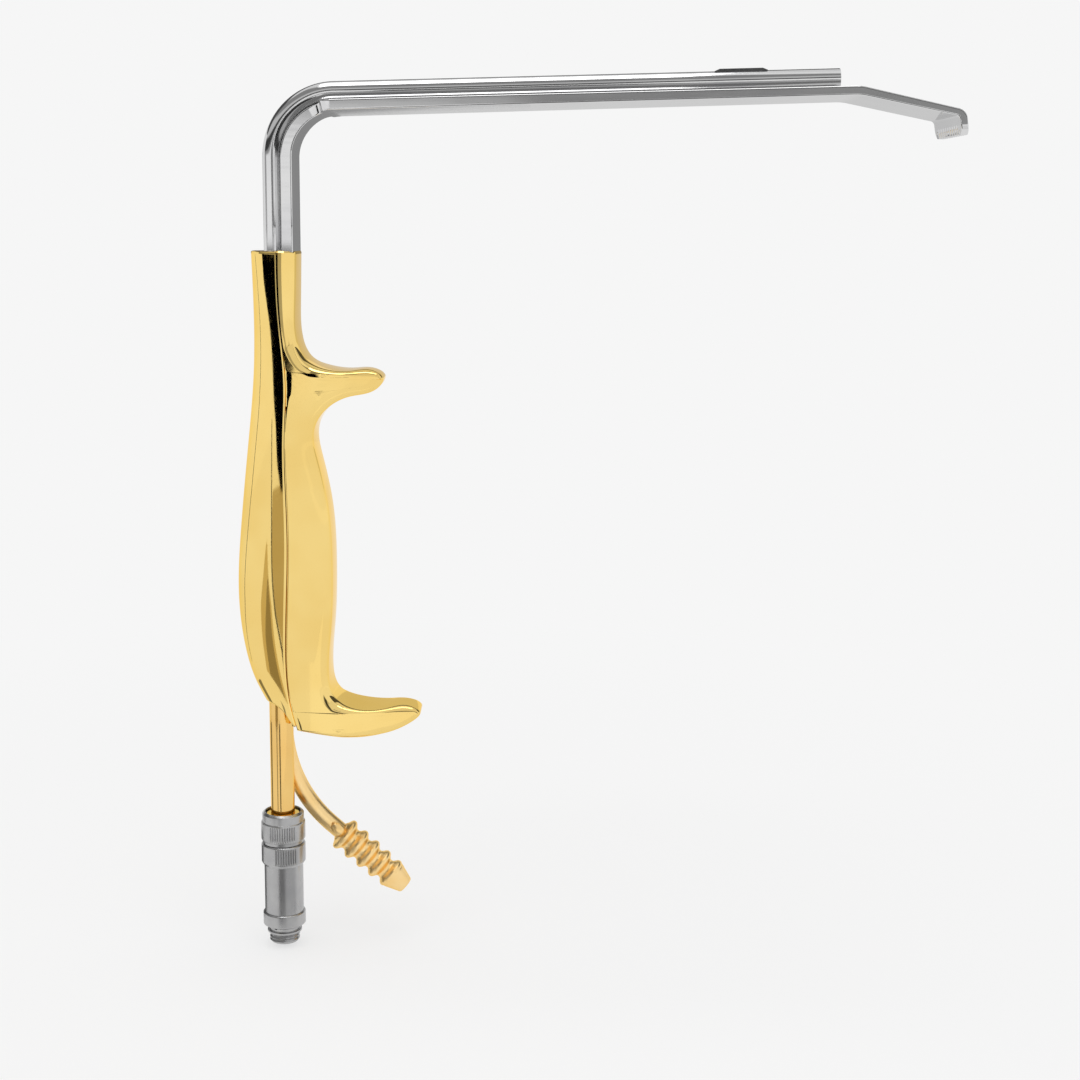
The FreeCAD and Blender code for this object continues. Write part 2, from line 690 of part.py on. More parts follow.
def rounded_edges(shape, seam):
    """The side edges of the grip's front, not those on the seam, the top or the hooks' roots."""
    seam_edge = seam.toShape()
    names = []
    for number, edge in enumerate(shape.Edges, start=1):
        box = edge.BoundBox
        middle = edge.valueAt((edge.FirstParameter + edge.LastParameter) / 2)
        flat = FreeCAD.Vector(middle.x, middle.z, 0)
        on_seam = seam_edge.distToShape(Part.Vertex(flat))[0] < 0.01
        across = box.YLength > S["hook_width"].value
        upright = box.XLength < 0.01
        level = box.ZLength < 0.01
        if not (on_seam or across or upright or level):
            names.append("Edge%d" % number)
    return names


# How far forward the cover's sides reach before they are cut at the seam.
COVER_AHEAD = S["neck_front"] + S["cover_wall"]


def back_stations():
    """Heights of the cover's sections, and how far behind the light axis each one reaches."""
    full = S["handle_length"]
    neck = S["neck_back"]
    palm = S["palm_back"]
    return (
        (HANDLE_TOP, neck),
        (HANDLE_TOP - full * 0.25, neck * 0.97),
        (HANDLE_TOP - full * 0.42, neck + (palm - neck) * 0.35),
        (HANDLE_TOP - full * 0.61, neck + (palm - neck) * 0.83),
        (HANDLE_TOP - full * 0.75, palm),
        (HANDLE_TOP - full * 0.865, palm * 0.875),
        (HANDLE_TOP - full * 0.95, palm * 0.6),
        (HANDLE_TOP - full * 1.01, palm * 0.27),
        (HANDLE_TOP - full * 1.055, palm * 0.1),
    )


def half_round(label, inset):
    """The space behind the seam, inset all round: its side view made wide, then rounded behind."""
    body = new_body(label, MIDDLE)
    sketch = new_sketch(body, label + "_outline", "XZ_Plane")
    rear = through([vector(inset - back, height) for height, back in back_stations()])
    low_ahead = FreeCAD.Vector(COVER_AHEAD.value, rear.EndPoint.y, 0)
    high_ahead = FreeCAD.Vector(COVER_AHEAD.value, rear.StartPoint.y, 0)
    sketch.addGeometry([
        rear,
        Part.LineSegment(rear.EndPoint, low_ahead),
        Part.LineSegment(low_ahead, high_ahead),
        Part.LineSegment(high_ahead, rear.StartPoint),
    ])
    blank = pad(body, sketch, S["handle_thickness"] - 2 * inset, middle=True)
    names = []
    for number, edge in enumerate(blank.Shape.Edges, start=1):
        behind = edge.CenterOfMass.x < 0
        along = edge.BoundBox.ZLength > S["handle_length"].value / 2
        if behind and along:
            names.append("Edge%d" % number)
    fillet(body, blank, names, S["cover_rounding"] - inset)
    return body


def trim_to_seam(body):
    """Cut the cover's outside along the seam, and slanted at its lower end."""
    ahead = new_sketch(body, "ahead_of_seam", "XZ_Plane")
    seam = seam_curve()
    top = HANDLE_TOP.value * 2
    right = S["palm_back"].value * 2
    corners = [seam.EndPoint, vector(seam.EndPoint.x, 0), vector(right, 0), vector(right, top),
               vector(seam.StartPoint.x, top), seam.StartPoint]
    ahead.addGeometry(seam)
    ahead.addGeometry([Part.LineSegment(a, b) for a, b in zip(corners, corners[1:])])
    pocket(body, ahead, S["handle_thickness"] * 2, middle=True)
    below = new_sketch(body, "slanted_end", "XZ_Plane")
    post = S["post_diameter"].value / 2
    rise = S["slant_rise"].value
    drop = S["slant_drop"].value
    slant = through([vector(x, COVER_END + z) for x, z in (
        (-post - S["palm_back"].value, rise), (-post, 0.63 * rise), (-0.18 * post, 0.4 * rise),
        (0.38 * post, -0.03 * drop), (0.88 * post, -0.43 * drop), (1.6 * post, -drop))])
    corners = [slant.EndPoint, vector(slant.EndPoint.x, 0), vector(slant.StartPoint.x, 0),
               slant.StartPoint]
    below.addGeometry(slant)
    below.addGeometry([Part.LineSegment(a, b) for a, b in zip(corners, corners[1:])])
    pocket(body, below, S["handle_thickness"] * 2, middle=True)


def filling(label, core, bottom, thickness, around):
    """A plate that fills the handle's hollow at one height, fitted round what passes through."""
    slab = document.addObject("Part::Box", label + "_slab")
    bind(slab, "Length", S["palm_back"] * 2 + CHANNEL_FRONT)
    bind(slab, "Width", S["handle_thickness"] * 2)
    bind(slab, "Height", thickness)
    bind(slab, "Placement.Base.x", -S["palm_back"] * 2)
    bind(slab, "Placement.Base.y", MIDDLE - S["handle_thickness"])
    bind(slab, "Placement.Base.z", bottom)
    blank = document.addObject("Part::Common", label + "_blank")
    blank.Base = core
    blank.Tool = slab
    document.recompute()
    return cut(label, blank, around)


def rod_at(label, radius, height, bottom, shift_y=None):
    """A plain cylinder on the light axis or beside it."""
    rod = document.addObject("Part::Cylinder", label)
    bind(rod, "Radius", radius)
    bind(rod, "Height", height)
    bind(rod, "Placement.Base.z", bottom)
    if shift_y is not None:
        bind(rod, "Placement.Base.y", shift_y)
    return rod


def make_saddle(tubes):
    """The thin ramped plate on top of both tubes."""
    body = new_body("saddle_blank", MIDDLE)
    sketch = new_sketch(body, "saddle_outline", "XZ_Plane")
    start = S["saddle_reach"]
    end = start + S["saddle_length"]
    ramp = S["saddle_ramp"]
    low = S["tube_wall"] * 0.9 - TUBE_RADIUS
    high = -TUBE_RADIUS - S["saddle_height"]
    straight_outline(sketch, (
        (start, along_blade(start, low)),
        (end, along_blade(end, low)),
        (end, along_blade(end, -TUBE_RADIUS)),
        (end - ramp, along_blade(end - ramp, high)),
        (start + ramp, along_blade(start + ramp, high)),
        (start, along_blade(start, -TUBE_RADIUS)),
    ))
    pad(body, sketch, S["tube_spacing"] + TUBE_RADIUS, middle=True)
    return cut("tube_saddle", body, tubes)


def make_tip_ferrule():
    """The sleeve round the fibres at the square end of the light tube."""
    body = new_body("tip_ferrule")
    sketch = new_sketch(body, "tip_ferrule_section", "XY_Plane")
    circle(sketch, TUBE_RADIUS - S["tube_wall"])
    circle(sketch, S["bundle_diameter"] / 2)
    pad(body, sketch, S["ferrule_length"])
    heading = math.radians(S["blade_rise"].value)
    along = FreeCAD.Vector(math.cos(heading), 0, math.sin(heading))
    reach = S["tube_reach"]
    end = FreeCAD.Vector(reach.value, 0, along_blade(reach, 0).value)
    turn = FreeCAD.Rotation(FreeCAD.Vector(0, 0, 1), along)
    body.Placement = FreeCAD.Placement(end - along * S["ferrule_length"].value, turn)
    return body


def make_hose_barb():
    """The ribbed hose barb, turned about its own axis and set at the end of the branch."""
    body = new_body("hose_barb")
    sketch = new_sketch(body, "hose_barb_outline", "XZ_Plane")
    bore = S["barb_bore"] / 2
    seat = S["branch_diameter"] / 2
    corners = [(bore, S["barb_socket"]), (seat, S["barb_socket"]), (seat, 0)]
    root = S["valley_diameter"] / 2
    corners.append((root - 0.5, 0))
    flank = S["barb_pitch"] * 0.38
    shoulder = S["barb_pitch"] * 0.17
    crest = S["barb_pitch"] * 0.07
    valley = root
    for number in range(int(S["barb_count"].value)):
        middle = S["barb_start"] + S["barb_pitch"] * number
        ring = (S["barb_diameter"] - S["barb_taper"] * number) / 2
        corners += [(valley, middle - flank), (ring - 0.4, middle - shoulder), (ring, middle - crest),
                    (ring, middle + crest), (ring - 0.4, middle + shoulder)]
        valley = root - S["valley_taper"] * (number + 1) / 2
        corners.append((valley, middle + flank))
    corners += [(S["nose_diameter"] / 2, S["barb_length"]), (bore, S["barb_length"])]
    straight_outline(sketch, corners)
    turning = body.newObject("PartDesign::Revolution", "hose_barb_turning")
    turning.Profile = sketch
    turning.ReferenceAxis = (sketch, ["V_Axis"])
    turning.Angle = 360
    fall = math.radians(S["branch_slope"].value)
    along = FreeCAD.Vector(math.cos(fall), 0, -math.sin(fall))
    corner = FreeCAD.Vector(0, S["tube_spacing"].value, S["branch_corner"].value)
    turn = FreeCAD.Rotation(FreeCAD.Vector(0, 0, 1), along)
    body.Placement = FreeCAD.Placement(corner + along * S["branch_run"].value, turn)
    document.recompute()
    return body


def make_union_nut():
    """The knurled union nut: mouth, thread bore and groove inside, ring and neck outside."""
    top = S["rim_height"]
    bevel = 0.6
    nut = S["nut_diameter"] / 2
    ring = S["ring_diameter"] / 2
    neck = S["neck_diameter"] / 2
    ring_top = top - S["nut_top"]
    ring_bottom = ring_top - S["ring_length"]
    spigot = S["spigot_diameter"] / 2 + S["running_gap"]
    groove = S["spigot_diameter"] / 2 + S["clip_stand"] + S["end_gap"]
    clip = SHOULDER + S["clip_height"]
    spigot_top = SHOULDER + S["spigot_length"] + S["end_gap"] * 2
    thread = S["nipple_diameter"] / 2 + S["running_gap"]
    mouth = S["mouth_diameter"] / 2
    return turned_body("union_nut", (
        (mouth, top),
        (nut - bevel, top),
        (nut, top - bevel),
        (nut, ring_top),
        (ring - 0.2, ring_top),
        (ring, ring_top - 0.3),
        (ring, ring_bottom + 0.3),
        (ring - 0.2, ring_bottom),
        (neck, ring_bottom),
        (neck, NUT_BOTTOM),
        (spigot, NUT_BOTTOM),
        (spigot, clip - S["end_gap"]),
        (groove, clip - S["end_gap"]),
        (groove, clip + S["clip_thickness"] + S["end_gap"]),
        (spigot, clip + S["clip_thickness"] + S["end_gap"]),
        (spigot, spigot_top),
        (thread, spigot_top),
        (thread, MOUTH_FLOOR),
        (mouth, MOUTH_FLOOR),
    ))


def make_barrel():
    """The adapter's barrel with the spigot that turns in the nut."""
    bore = S["barrel_bore"] / 2
    outside = S["barrel_diameter"] / 2
    spigot = S["spigot_diameter"] / 2
    groove = spigot - S["clip_depth"]
    clip = SHOULDER + S["clip_height"]
    return turned_body("adapter_barrel", (
        (bore, S["barrel_bottom"]),
        (outside, S["barrel_bottom"]),
        (outside, SHOULDER),
        (spigot, SHOULDER),
        (spigot, clip),
        (groove, clip),
        (groove, clip + S["clip_thickness"]),
        (spigot, clip + S["clip_thickness"]),
        (spigot, SHOULDER + S["spigot_length"]),
        (bore, SHOULDER + S["spigot_length"]),
    ))


def make_grip_ring():
    """The lower knurled ring, pressed on the barrel."""
    inside = S["barrel_diameter"] / 2
    ring = S["ring_diameter"] / 2
    bottom = SHOULDER - S["ring_length"]
    return turned_body("grip_ring", (
        (inside, bottom - S["ring_chamfer"]),
        (inside + 0.15, bottom - S["ring_chamfer"]),
        (ring, bottom),
        (ring, SHOULDER - 0.3),
        (ring - 0.3, SHOULDER),
        (inside, SHOULDER),
    ))


def make_retaining_ring():
    """The split ring that keeps the nut on the barrel."""
    inside = S["spigot_diameter"] / 2 - S["clip_depth"]
    outside = S["spigot_diameter"] / 2 + S["clip_stand"]
    bottom = SHOULDER + S["clip_height"]
    top = bottom + S["clip_thickness"]
    body = turned_body("retaining_ring", (
        (inside, bottom), (outside, bottom), (outside, top), (inside, top)))
    gap = new_sketch(body, "retaining_ring_gap", "XY_Plane", top + OVERCUT)
    half = S["clip_thickness"]
    reach = outside + OVERCUT
    straight_outline(gap, ((0, -half), (reach, -half), (reach, half), (0, half)))
    pocket(body, gap, S["clip_thickness"] + 2 * OVERCUT)
    return body


def make_collar():
    """The lower collar, a cup pressed over the barrel's end, with a bevelled foot."""
    outside = S["collar_diameter"] / 2
    seat = S["barrel_diameter"] / 2
    hole = S["thread_diameter"] / 2
    bottom = S["collar_bottom"]
    top = S["collar_top"]
    return turned_body("collar_blank", (
        (hole, bottom),
        (hole + 0.5, bottom),
        (outside, bottom + S["collar_chamfer"]),
        (outside, top - 0.3),
        (outside - 0.3, top),
        (seat, top),
        (seat, S["barrel_bottom"]),
        (hole, S["barrel_bottom"]),
    ))


def make_threaded_end():
    """The end that takes the light cable, its thread as a plain cylinder."""
    rod = S["rod_diameter"] / 2
    lead = S["lead_diameter"] / 2
    thread = S["thread_diameter"] / 2
    stop = S["stop_diameter"] / 2
    thread_top = S["lead_length"] + S["thread_length"]
    stop_top = thread_top + S["stop_thickness"]
    return turned_body("threaded_end_blank", (
        (rod, 0),
        (lead, 0),
        (lead, S["lead_length"]),
        (thread, S["lead_length"]),
        (thread, thread_top),
        (stop, thread_top),
        (stop, stop_top),
        (thread, stop_top),
        (thread, S["end_length"]),
        (rod, S["end_length"]),
    ))


def make_nipple():
    """The threaded nipple brazed on the light post, its flange on top."""
    bundle_seat = S["post_diameter"] / 2 - S["post_wall"]
    post = S["post_diameter"] / 2
    outside = S["nipple_diameter"] / 2
    flange = S["flange_diameter"] / 2
    ledge = NIPPLE_BOTTOM + S["nipple_ledge"]
    return turned_body("threaded_nipple", (
        (bundle_seat, NIPPLE_BOTTOM),
        (outside, NIPPLE_BOTTOM),
        (outside, FLANGE_BOTTOM),
        (flange, FLANGE_BOTTOM),
        (flange, FLANGE_TOP),
        (post, FLANGE_TOP),
        (post, ledge),
        (bundle_seat, ledge),
    ))


def ring_piece(label, inside, outside, bottom, top, shift_y=None):
    """A plain sleeve or ring about the light axis, or about an axis beside it."""
    return turned_body(label, ((inside, bottom), (outside, bottom), (outside, top), (inside, top)), shift_y)


def radial_cylinder(label, start, length):
    """A cylinder that points out from the light axis at the set screw's place."""
    rod = document.addObject("Part::Cylinder", label)
    bind(rod, "Radius", S["screw_diameter"] / 2)
    bind(rod, "Height", length)
    turn = math.radians(S["screw_turn"].value)
    outwards = FreeCAD.Vector(-math.sin(turn), -math.cos(turn), 0)
    place = outwards * sized(start).value + FreeCAD.Vector(0, 0, S["screw_height"].value)
    rod.Placement = FreeCAD.Placement(place, FreeCAD.Rotation(FreeCAD.Vector(0, 0, 1), outwards))
    document.recompute()
    return rod


def make_connector():
    """The screw-on connector, from the union nut down to the threaded end."""
    thread = S["thread_diameter"] / 2
    start = thread - S["screw_seat"]
    set_screw = radial_cylinder("set_screw", start, S["screw_length"])
    screw_hole = radial_cylinder("set_screw_hole", start, S["collar_diameter"] / 2)
    rod = S["rod_diameter"] / 2
    return [
        make_union_nut(),
        make_barrel(),
        make_grip_ring(),
        make_retaining_ring(),
        cut("lower_collar", make_collar(), [screw_hole]),
        cut("threaded_end", make_threaded_end(), [set_screw]),
        set_screw,
        ring_piece("rod_carrier", rod, S["barrel_bore"] / 2, S["end_length"], S["rod_length"]),
        rod_at("light_rod", rod, S["rod_length"], 0),
    ]


def make_light_path():
    """Post, nipple, seal and the fibre bundle with its two ferrules."""
    post = S["post_diameter"] / 2
    post_bore = post - S["post_wall"]
    bundle = S["bundle_diameter"] / 2
    post_top = COVER_END + S["post_depth"]
    seal = S["seal_diameter"] / 2
    seal_bottom = FLANGE_BOTTOM - S["seal_thickness"]
    return [
        ring_piece("light_post", post_bore, post, NIPPLE_BOTTOM + S["nipple_ledge"], post_top),
        make_nipple(),
        ring_piece("seal_ring", S["nipple_diameter"] / 2, seal, seal_bottom, FLANGE_BOTTOM),
        ring_piece("bundle_ferrule", bundle, post_bore, NIPPLE_BOTTOM,
                   NIPPLE_BOTTOM + S["bundle_sleeve"]),
        swept_tube("fibre_bundle", bundle, None, NIPPLE_BOTTOM, CORNER, S["blade_rise"],
                   S["bend_radius"], S["tube_reach"]),
        make_tip_ferrule(),
    ]


def make_suction_path():
    """Steel suction tube, joining sleeve, gold branch and hose barb."""
    joint = COVER_END + S["post_depth"] + S["sleeve_length"] * 0.6
    aside = S["tube_spacing"]
    run = (S["branch_run"] + S["barb_socket"]) * cosine(S["branch_slope"])
    branch = S["branch_diameter"] / 2
    return [
        swept_tube("suction_tube", TUBE_RADIUS, TUBE_RADIUS - S["tube_wall"], joint, CORNER,
                   S["blade_rise"], S["bend_radius"], S["tube_reach"] - S["suction_setback"], aside),
        ring_piece("joining_sleeve", TUBE_RADIUS, TUBE_RADIUS + S["sleeve_wall"],
                   joint - S["sleeve_length"] / 2, joint + S["sleeve_length"] / 2, aside),
        swept_tube("suction_branch", branch, branch - S["branch_wall"], joint, S["branch_corner"],
                   -S["branch_slope"], S["branch_radius"], run, aside),
        make_hose_barb(),
    ]


def make_handle():
    """Blade, grip, cover and the plates that close the handle round what passes through."""
    screws = make_tang_screws()
    blade = cut("blade", make_blade(), [screws])
    grip = cut("front_grip", make_front_grip(), [screws])
    post = S["post_diameter"] / 2
    branch = S["branch_diameter"] / 2
    aside = S["tube_spacing"]
    outside = half_round("cover_blank", sized(0))
    trim_to_seam(outside)
    core = half_round("hollow_core", S["cover_wall"])
    cover = cut("back_cover", outside, [
        core, long_rod("cover_light_hole", post), long_rod("cover_suction_hole", branch, aside)])
    cap = filling("handle_cap", core, HANDLE_TOP - S["cap_thickness"], S["cap_thickness"], [
        grip, blade, long_rod("cap_light_hole", TUBE_RADIUS),
        long_rod("cap_suction_hole", TUBE_RADIUS, aside)])
    plug = filling("lower_plug", core, COVER_END + S["plug_height"], S["plug_thickness"], [
        grip, long_rod("plug_light_hole", post), long_rod("plug_suction_hole", branch, aside)])
    return [screws, blade, grip, cover, cap, plug]


def long_rod(label, radius, shift_y=None):
    """A long cylinder that cuts the hole for a tube."""
    return rod_at(label, radius, HANDLE_TOP * 2, 0, shift_y)


def build_all():
    light_tube = swept_tube("light_guide_tube", TUBE_RADIUS, TUBE_RADIUS - S["tube_wall"],
                            COVER_END + S["tube_start"], CORNER, S["blade_rise"], S["bend_radius"],
                            S["tube_reach"])
    light_path = make_light_path()
    suction_path = make_suction_path()
    connector = make_connector()
    handle = make_handle()
    saddle = make_saddle([light_tube, suction_path[0]])
    return [light_tube, saddle] + light_path + suction_path + connector + handle


def main():
    pieces = build_all()
    document.recompute()
    for item in document.Objects:
        if "Invalid" in item.State or "Error" in item.State:
            raise RuntimeError("%s is %s" % (item.Name, item.State))
    for piece in pieces:
        if piece.Shape.isNull() or not piece.Shape.isValid():
            raise RuntimeError(piece.Label + " has no valid shape")
    os.makedirs("parts", exist_ok=True)
    for piece in pieces:
        piece.Shape.exportStep("parts/%s.step" % piece.Label)
        box = piece.Shape.optimalBoundingBox(False)
        print("%-18s %8.1f mm3, X %6.1f to %6.1f, Y %5.1f to %5.1f, Z %6.1f to %6.1f" % (
            piece.Label, piece.Shape.Volume, box.XMin, box.XMax, box.YMin, box.YMax, box.ZMin, box.ZMax))
    print(len(pieces), "sub-parts")


main()
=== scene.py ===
import math

import bmesh
import bpy
import numpy as np
from mathutils import Matrix, Vector


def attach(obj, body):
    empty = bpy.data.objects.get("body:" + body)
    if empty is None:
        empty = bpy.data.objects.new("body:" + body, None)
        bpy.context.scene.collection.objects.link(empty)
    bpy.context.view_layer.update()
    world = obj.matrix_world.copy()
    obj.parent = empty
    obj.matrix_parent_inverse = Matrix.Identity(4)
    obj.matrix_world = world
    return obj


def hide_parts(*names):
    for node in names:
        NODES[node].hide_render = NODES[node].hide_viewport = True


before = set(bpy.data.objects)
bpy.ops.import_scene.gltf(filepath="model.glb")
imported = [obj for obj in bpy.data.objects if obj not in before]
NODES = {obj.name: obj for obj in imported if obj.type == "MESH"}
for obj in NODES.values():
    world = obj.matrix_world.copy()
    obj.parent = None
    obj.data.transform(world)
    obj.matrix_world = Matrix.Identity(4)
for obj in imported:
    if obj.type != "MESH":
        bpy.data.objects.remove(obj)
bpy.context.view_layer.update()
MM = 0.001

# The part in mm: +X along the blade, +Z up the light axis, the near side at -Y.
HANDLE_TOP = 200.0
COVER_LENGTH = 128.6
MIDDLE = 2.95
HALF = 9.5
UPPER_HOOK = (29.9, 165.5)
LOWER_HOOK = (40.0, 69.8)
# Height at which the upright and the lying run of the tubes' axis would meet, and the lying run's slope.
CORNER = 242.1
RISE = math.radians(2.0)
CRANK = math.radians(14.0)
# How far inside that axis the bar's two faces lie.
BAR_BACK = 2.85
BAR_FRONT = 5.45
# The suction side: its distance in Y, and the corner and slope of its branch.
ASIDE = 5.9
BRANCH_CORNER = 45.5
BRANCH_FALL = math.radians(41.2)
TUBE = 2.65
TUBE_BORE = 2.15
TUBE_BEND = 17.5


# ---------------------------------------------------------------- surfaces

def unit(vectors):
    """Each vector over its own length."""
    return vectors / np.linalg.norm(vectors, axis=-1, keepdims=True)


def way_along(points):
    """Length of the line from its first point to each of its points."""
    return np.concatenate([[0], np.cumsum(np.linalg.norm(np.diff(points, axis=0), axis=1))])


def mesh_through(name, grid, around):
    """A mesh through a grid of points P(i, j) in mm, each four neighbours joined by a face.

    The second direction closes on itself where around is true.
    """
    rows, columns = grid.shape[:2]
    index = np.arange(rows * columns).reshape(rows, columns)
    if around:
        index = np.hstack([index, index[:, :1]])
    faces = np.stack([index[:-1, :-1], index[:-1, 1:], index[1:, 1:], index[1:, :-1]], axis=-1)
    mesh = bpy.data.meshes.new(name)
    mesh.from_pydata((grid.reshape(-1, 3) * MM).tolist(), [], faces.reshape(-1, 4).tolist())
    return mesh


def shown(name, data):
    """A new object of the scene, at the origin."""
    made = bpy.data.objects.new(name, data)
    bpy.context.scene.collection.objects.link(made)
    return made


def surface(name, grid, body, material, replaces=(), around=True):
    """A piece whose surface runs through a grid of points and which rides on a body.

    Points that fall together are merged, so a row that shrinks to a point or a line closes the
    surface. Edges that turn by more than the sharp angle stay sharp.
    """
    sharp = math.radians(32.0)
    mesh = mesh_through(name, grid, around)
    work = bmesh.new()
    work.from_mesh(mesh)
    bmesh.ops.remove_doubles(work, verts=work.verts, dist=2e-6)
    bmesh.ops.dissolve_degenerate(work, dist=1e-7, edges=work.edges)
    bmesh.ops.recalc_face_normals(work, faces=work.faces)
    work.to_mesh(mesh)
    work.free()
    mesh.shade_smooth()
    mesh.set_sharp_from_angle(angle=sharp)
    mesh.materials.append(material)
    piece = shown(name, mesh)
    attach(piece, body)
    if replaces:
        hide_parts(*replaces)
    return piece


def eased(corners, reach, closed=True):
    """Corners of an outline, each eased by the curve (1-t)^2 A + 2t(1-t) C + t^2 B round corner C.

    A point on the straight run just before A and one just after B keep the shading of flats level.
    """
    corners = np.asarray(corners, float)
    longest, margin = 0.4, 0.2
    before = np.roll(corners, 1, axis=0) - corners
    after = np.roll(corners, -1, axis=0) - corners
    back = np.linalg.norm(before, axis=1, keepdims=True)
    ahead = np.linalg.norm(after, axis=1, keepdims=True)
    start = corners + before / back * np.minimum(reach, longest * back)
    end = corners + after / ahead * np.minimum(reach, longest * ahead)
    t = np.linspace(0.0, 1.0, 5)[None, :, None]
    curve = (1 - t) ** 2 * start[:, None] + 2 * t * (1 - t) * corners[:, None] + t ** 2 * end[:, None]
    lead = start + margin * (start - corners)
    tail = end + margin * (end - corners)
    curve = np.concatenate([lead[:, None], curve, tail[:, None]], axis=1)
    if not closed:
        curve[0] = corners[0]
        curve[-1] = corners[-1]
    return curve.reshape(-1, corners.shape[1])


def arcs(corners, radii):
    """An open line whose inner corners become true arcs: centre - n r cos a + d r sin a.

    As in eased, a point lies on the straight run just before each arc and just after it.
    """
    corners = np.asarray(corners, float)
    radii = np.asarray(radii, float)[:, None]
    margin = 0.3
    inward = unit(corners[1:-1] - corners[:-2])
    outward = unit(corners[2:] - corners[1:-1])
    dot = np.sum(inward * outward, axis=1, keepdims=True)
    turn = np.arccos(np.clip(dot, -1, 1))
    start = corners[1:-1] - inward * radii * np.tan(turn / 2)
    side = unit(outward - dot * inward)
    centre = start + side * radii
    angle = turn[:, None] * np.linspace(0, 1, 30)[None, :, None]
    curve = (centre[:, None] - side[:, None] * radii[:, None] * np.cos(angle)
             + inward[:, None] * radii[:, None] * np.sin(angle))
    lead = curve[:, :1] - margin * inward[:, None]
    tail = curve[:, -1:] + margin * outward[:, None]
    curve = np.concatenate([lead, curve, tail], axis=1)
    return np.vstack([corners[:1], curve.reshape(-1, 2), corners[-1:]])


def spline(points, count):
    """Natural cubic spline through the points, its parameter the chord length."""
    points = np.asarray(points, float)
    knots = way_along(points)
    steps = np.diff(knots)
    size = len(points)
    system = np.eye(size)
    inner = np.arange(1, size - 1)
    system[inner, inner - 1] = steps[:-1]
    system[inner, inner] = 2 * (steps[:-1] + steps[1:])
    system[inner, inner + 1] = steps[1:]
    right = np.zeros_like(points)
    slopes = np.diff(points, axis=0) / steps[:, None]
    right[1:-1] = 6 * (slopes[1:] - slopes[:-1])
    bend = np.linalg.solve(system, right)
    at = np.linspace(0, knots[-1], count)
    span = np.clip(np.searchsorted(knots, at, side="right") - 1, 0, size - 2)
    h = steps[span][:, None]
    a = (knots[span + 1] - at)[:, None] / h
    b = 1 - a
    return (a * points[span] + b * points[span + 1]
            + ((a ** 3 - a) * bend[span] + (b ** 3 - b) * bend[span + 1]) * h ** 2 / 6)


def turned(profile, origin=(0, 0, 0), axis=(0, 0, 1), columns=120, swell=None):
    """Points of a turned piece: P = O + h A + r (U cos q + V sin q) for each (r, h) of the profile.

    The function swell changes r and h with the angle q.
    """
    profile = np.asarray(profile, float)
    axis = unit(np.asarray(axis, float))
    across = unit(np.cross(axis, (0, 1, 0)))
    aside = np.cross(axis, across)
    q = np.linspace(0, 2 * np.pi, columns, endpoint=False)[None, :]
    r = np.broadcast_to(profile[:, :1], (len(profile), columns))
    h = np.broadcast_to(profile[:, 1:], (len(profile), columns))
    if swell is not None:
        r, h = swell(r, h, q)
    ring = across * np.cos(q)[..., None] + aside * np.sin(q)[..., None]
    return np.asarray(origin, float) + h[..., None] * axis + r[..., None] * ring


def bent_line(start, corner, slope, radius, end, aside):
    """Middle line of a tube: along Z from start, the arc (R(1 - cos a), R sin a), then a straight run.

    The run passes the corner's height at the axis, rises by the slope and ends at X = end. With the
    points come the directions of the line at them.
    """
    margin = 0.5
    way = 1.0 if start < corner else -1.0
    turn = math.pi / 2 - way * slope
    setback = radius * math.tan(turn / 2)
    a = np.linspace(0, turn, 56)
    arc = np.stack([radius * (1 - np.cos(a)), corner - way * setback + way * radius * np.sin(a)], axis=1)
    last = np.array([math.cos(slope), math.sin(slope)])
    line = np.vstack([[0.0, start], arc[0] - (0.0, margin * way), arc, arc[-1] + margin * last,
                      [end, corner + end * math.tan(slope)]])
    heading = np.vstack([[0.0, way], [0.0, way], np.stack([np.sin(a), way * np.cos(a)], axis=1), last, last])
    return np.insert(line, 1, aside, axis=1), np.insert(heading, 1, 0.0, axis=1)


def carried(line, rows):
    """A round section carried along a line: P = C(s) + r (N cos q + Y sin q), rows giving (s, r)."""
    middle, heading = line
    reach = way_along(middle)
    rows = np.asarray(rows, float)
    centre = np.stack([np.interp(rows[:, 0], reach, middle[:, k]) for k in range(3)], axis=1)
    tangent = unit(np.stack([np.interp(rows[:, 0], reach, heading[:, k]) for k in range(3)], axis=1))
    side = np.array([0.0, 1.0, 0.0])
    normal = np.cross(side, tangent)
    q = np.linspace(0, 2 * np.pi, 72, endpoint=False)[None, :, None]
    ring = normal[:, None] * np.cos(q) + side * np.sin(q)
    return centre[:, None] + rows[:, 1][:, None, None] * ring


def tube_rows(line, radius, bore, depth):
    """Rows (s, r) of an open-ended tube: up the outside, over the eased end, and down the bore."""
    reach = way_along(line[0])
    total = reach[-1]
    lip = 0.12
    inset = 0.3 * lip
    outside = np.stack([reach[:-1], np.full(len(reach) - 1, radius)], axis=1)
    end = [(total - lip, radius), (total - inset, radius - inset), (total, radius - lip),
           (total, bore + lip), (total - inset, bore + inset), (total - lip, bore),
           (total - depth, bore), (total - depth, 0.0)]
    return np.vstack([[0.0, 0.0], outside, end])


# ---------------------------------------------------------------- finishes

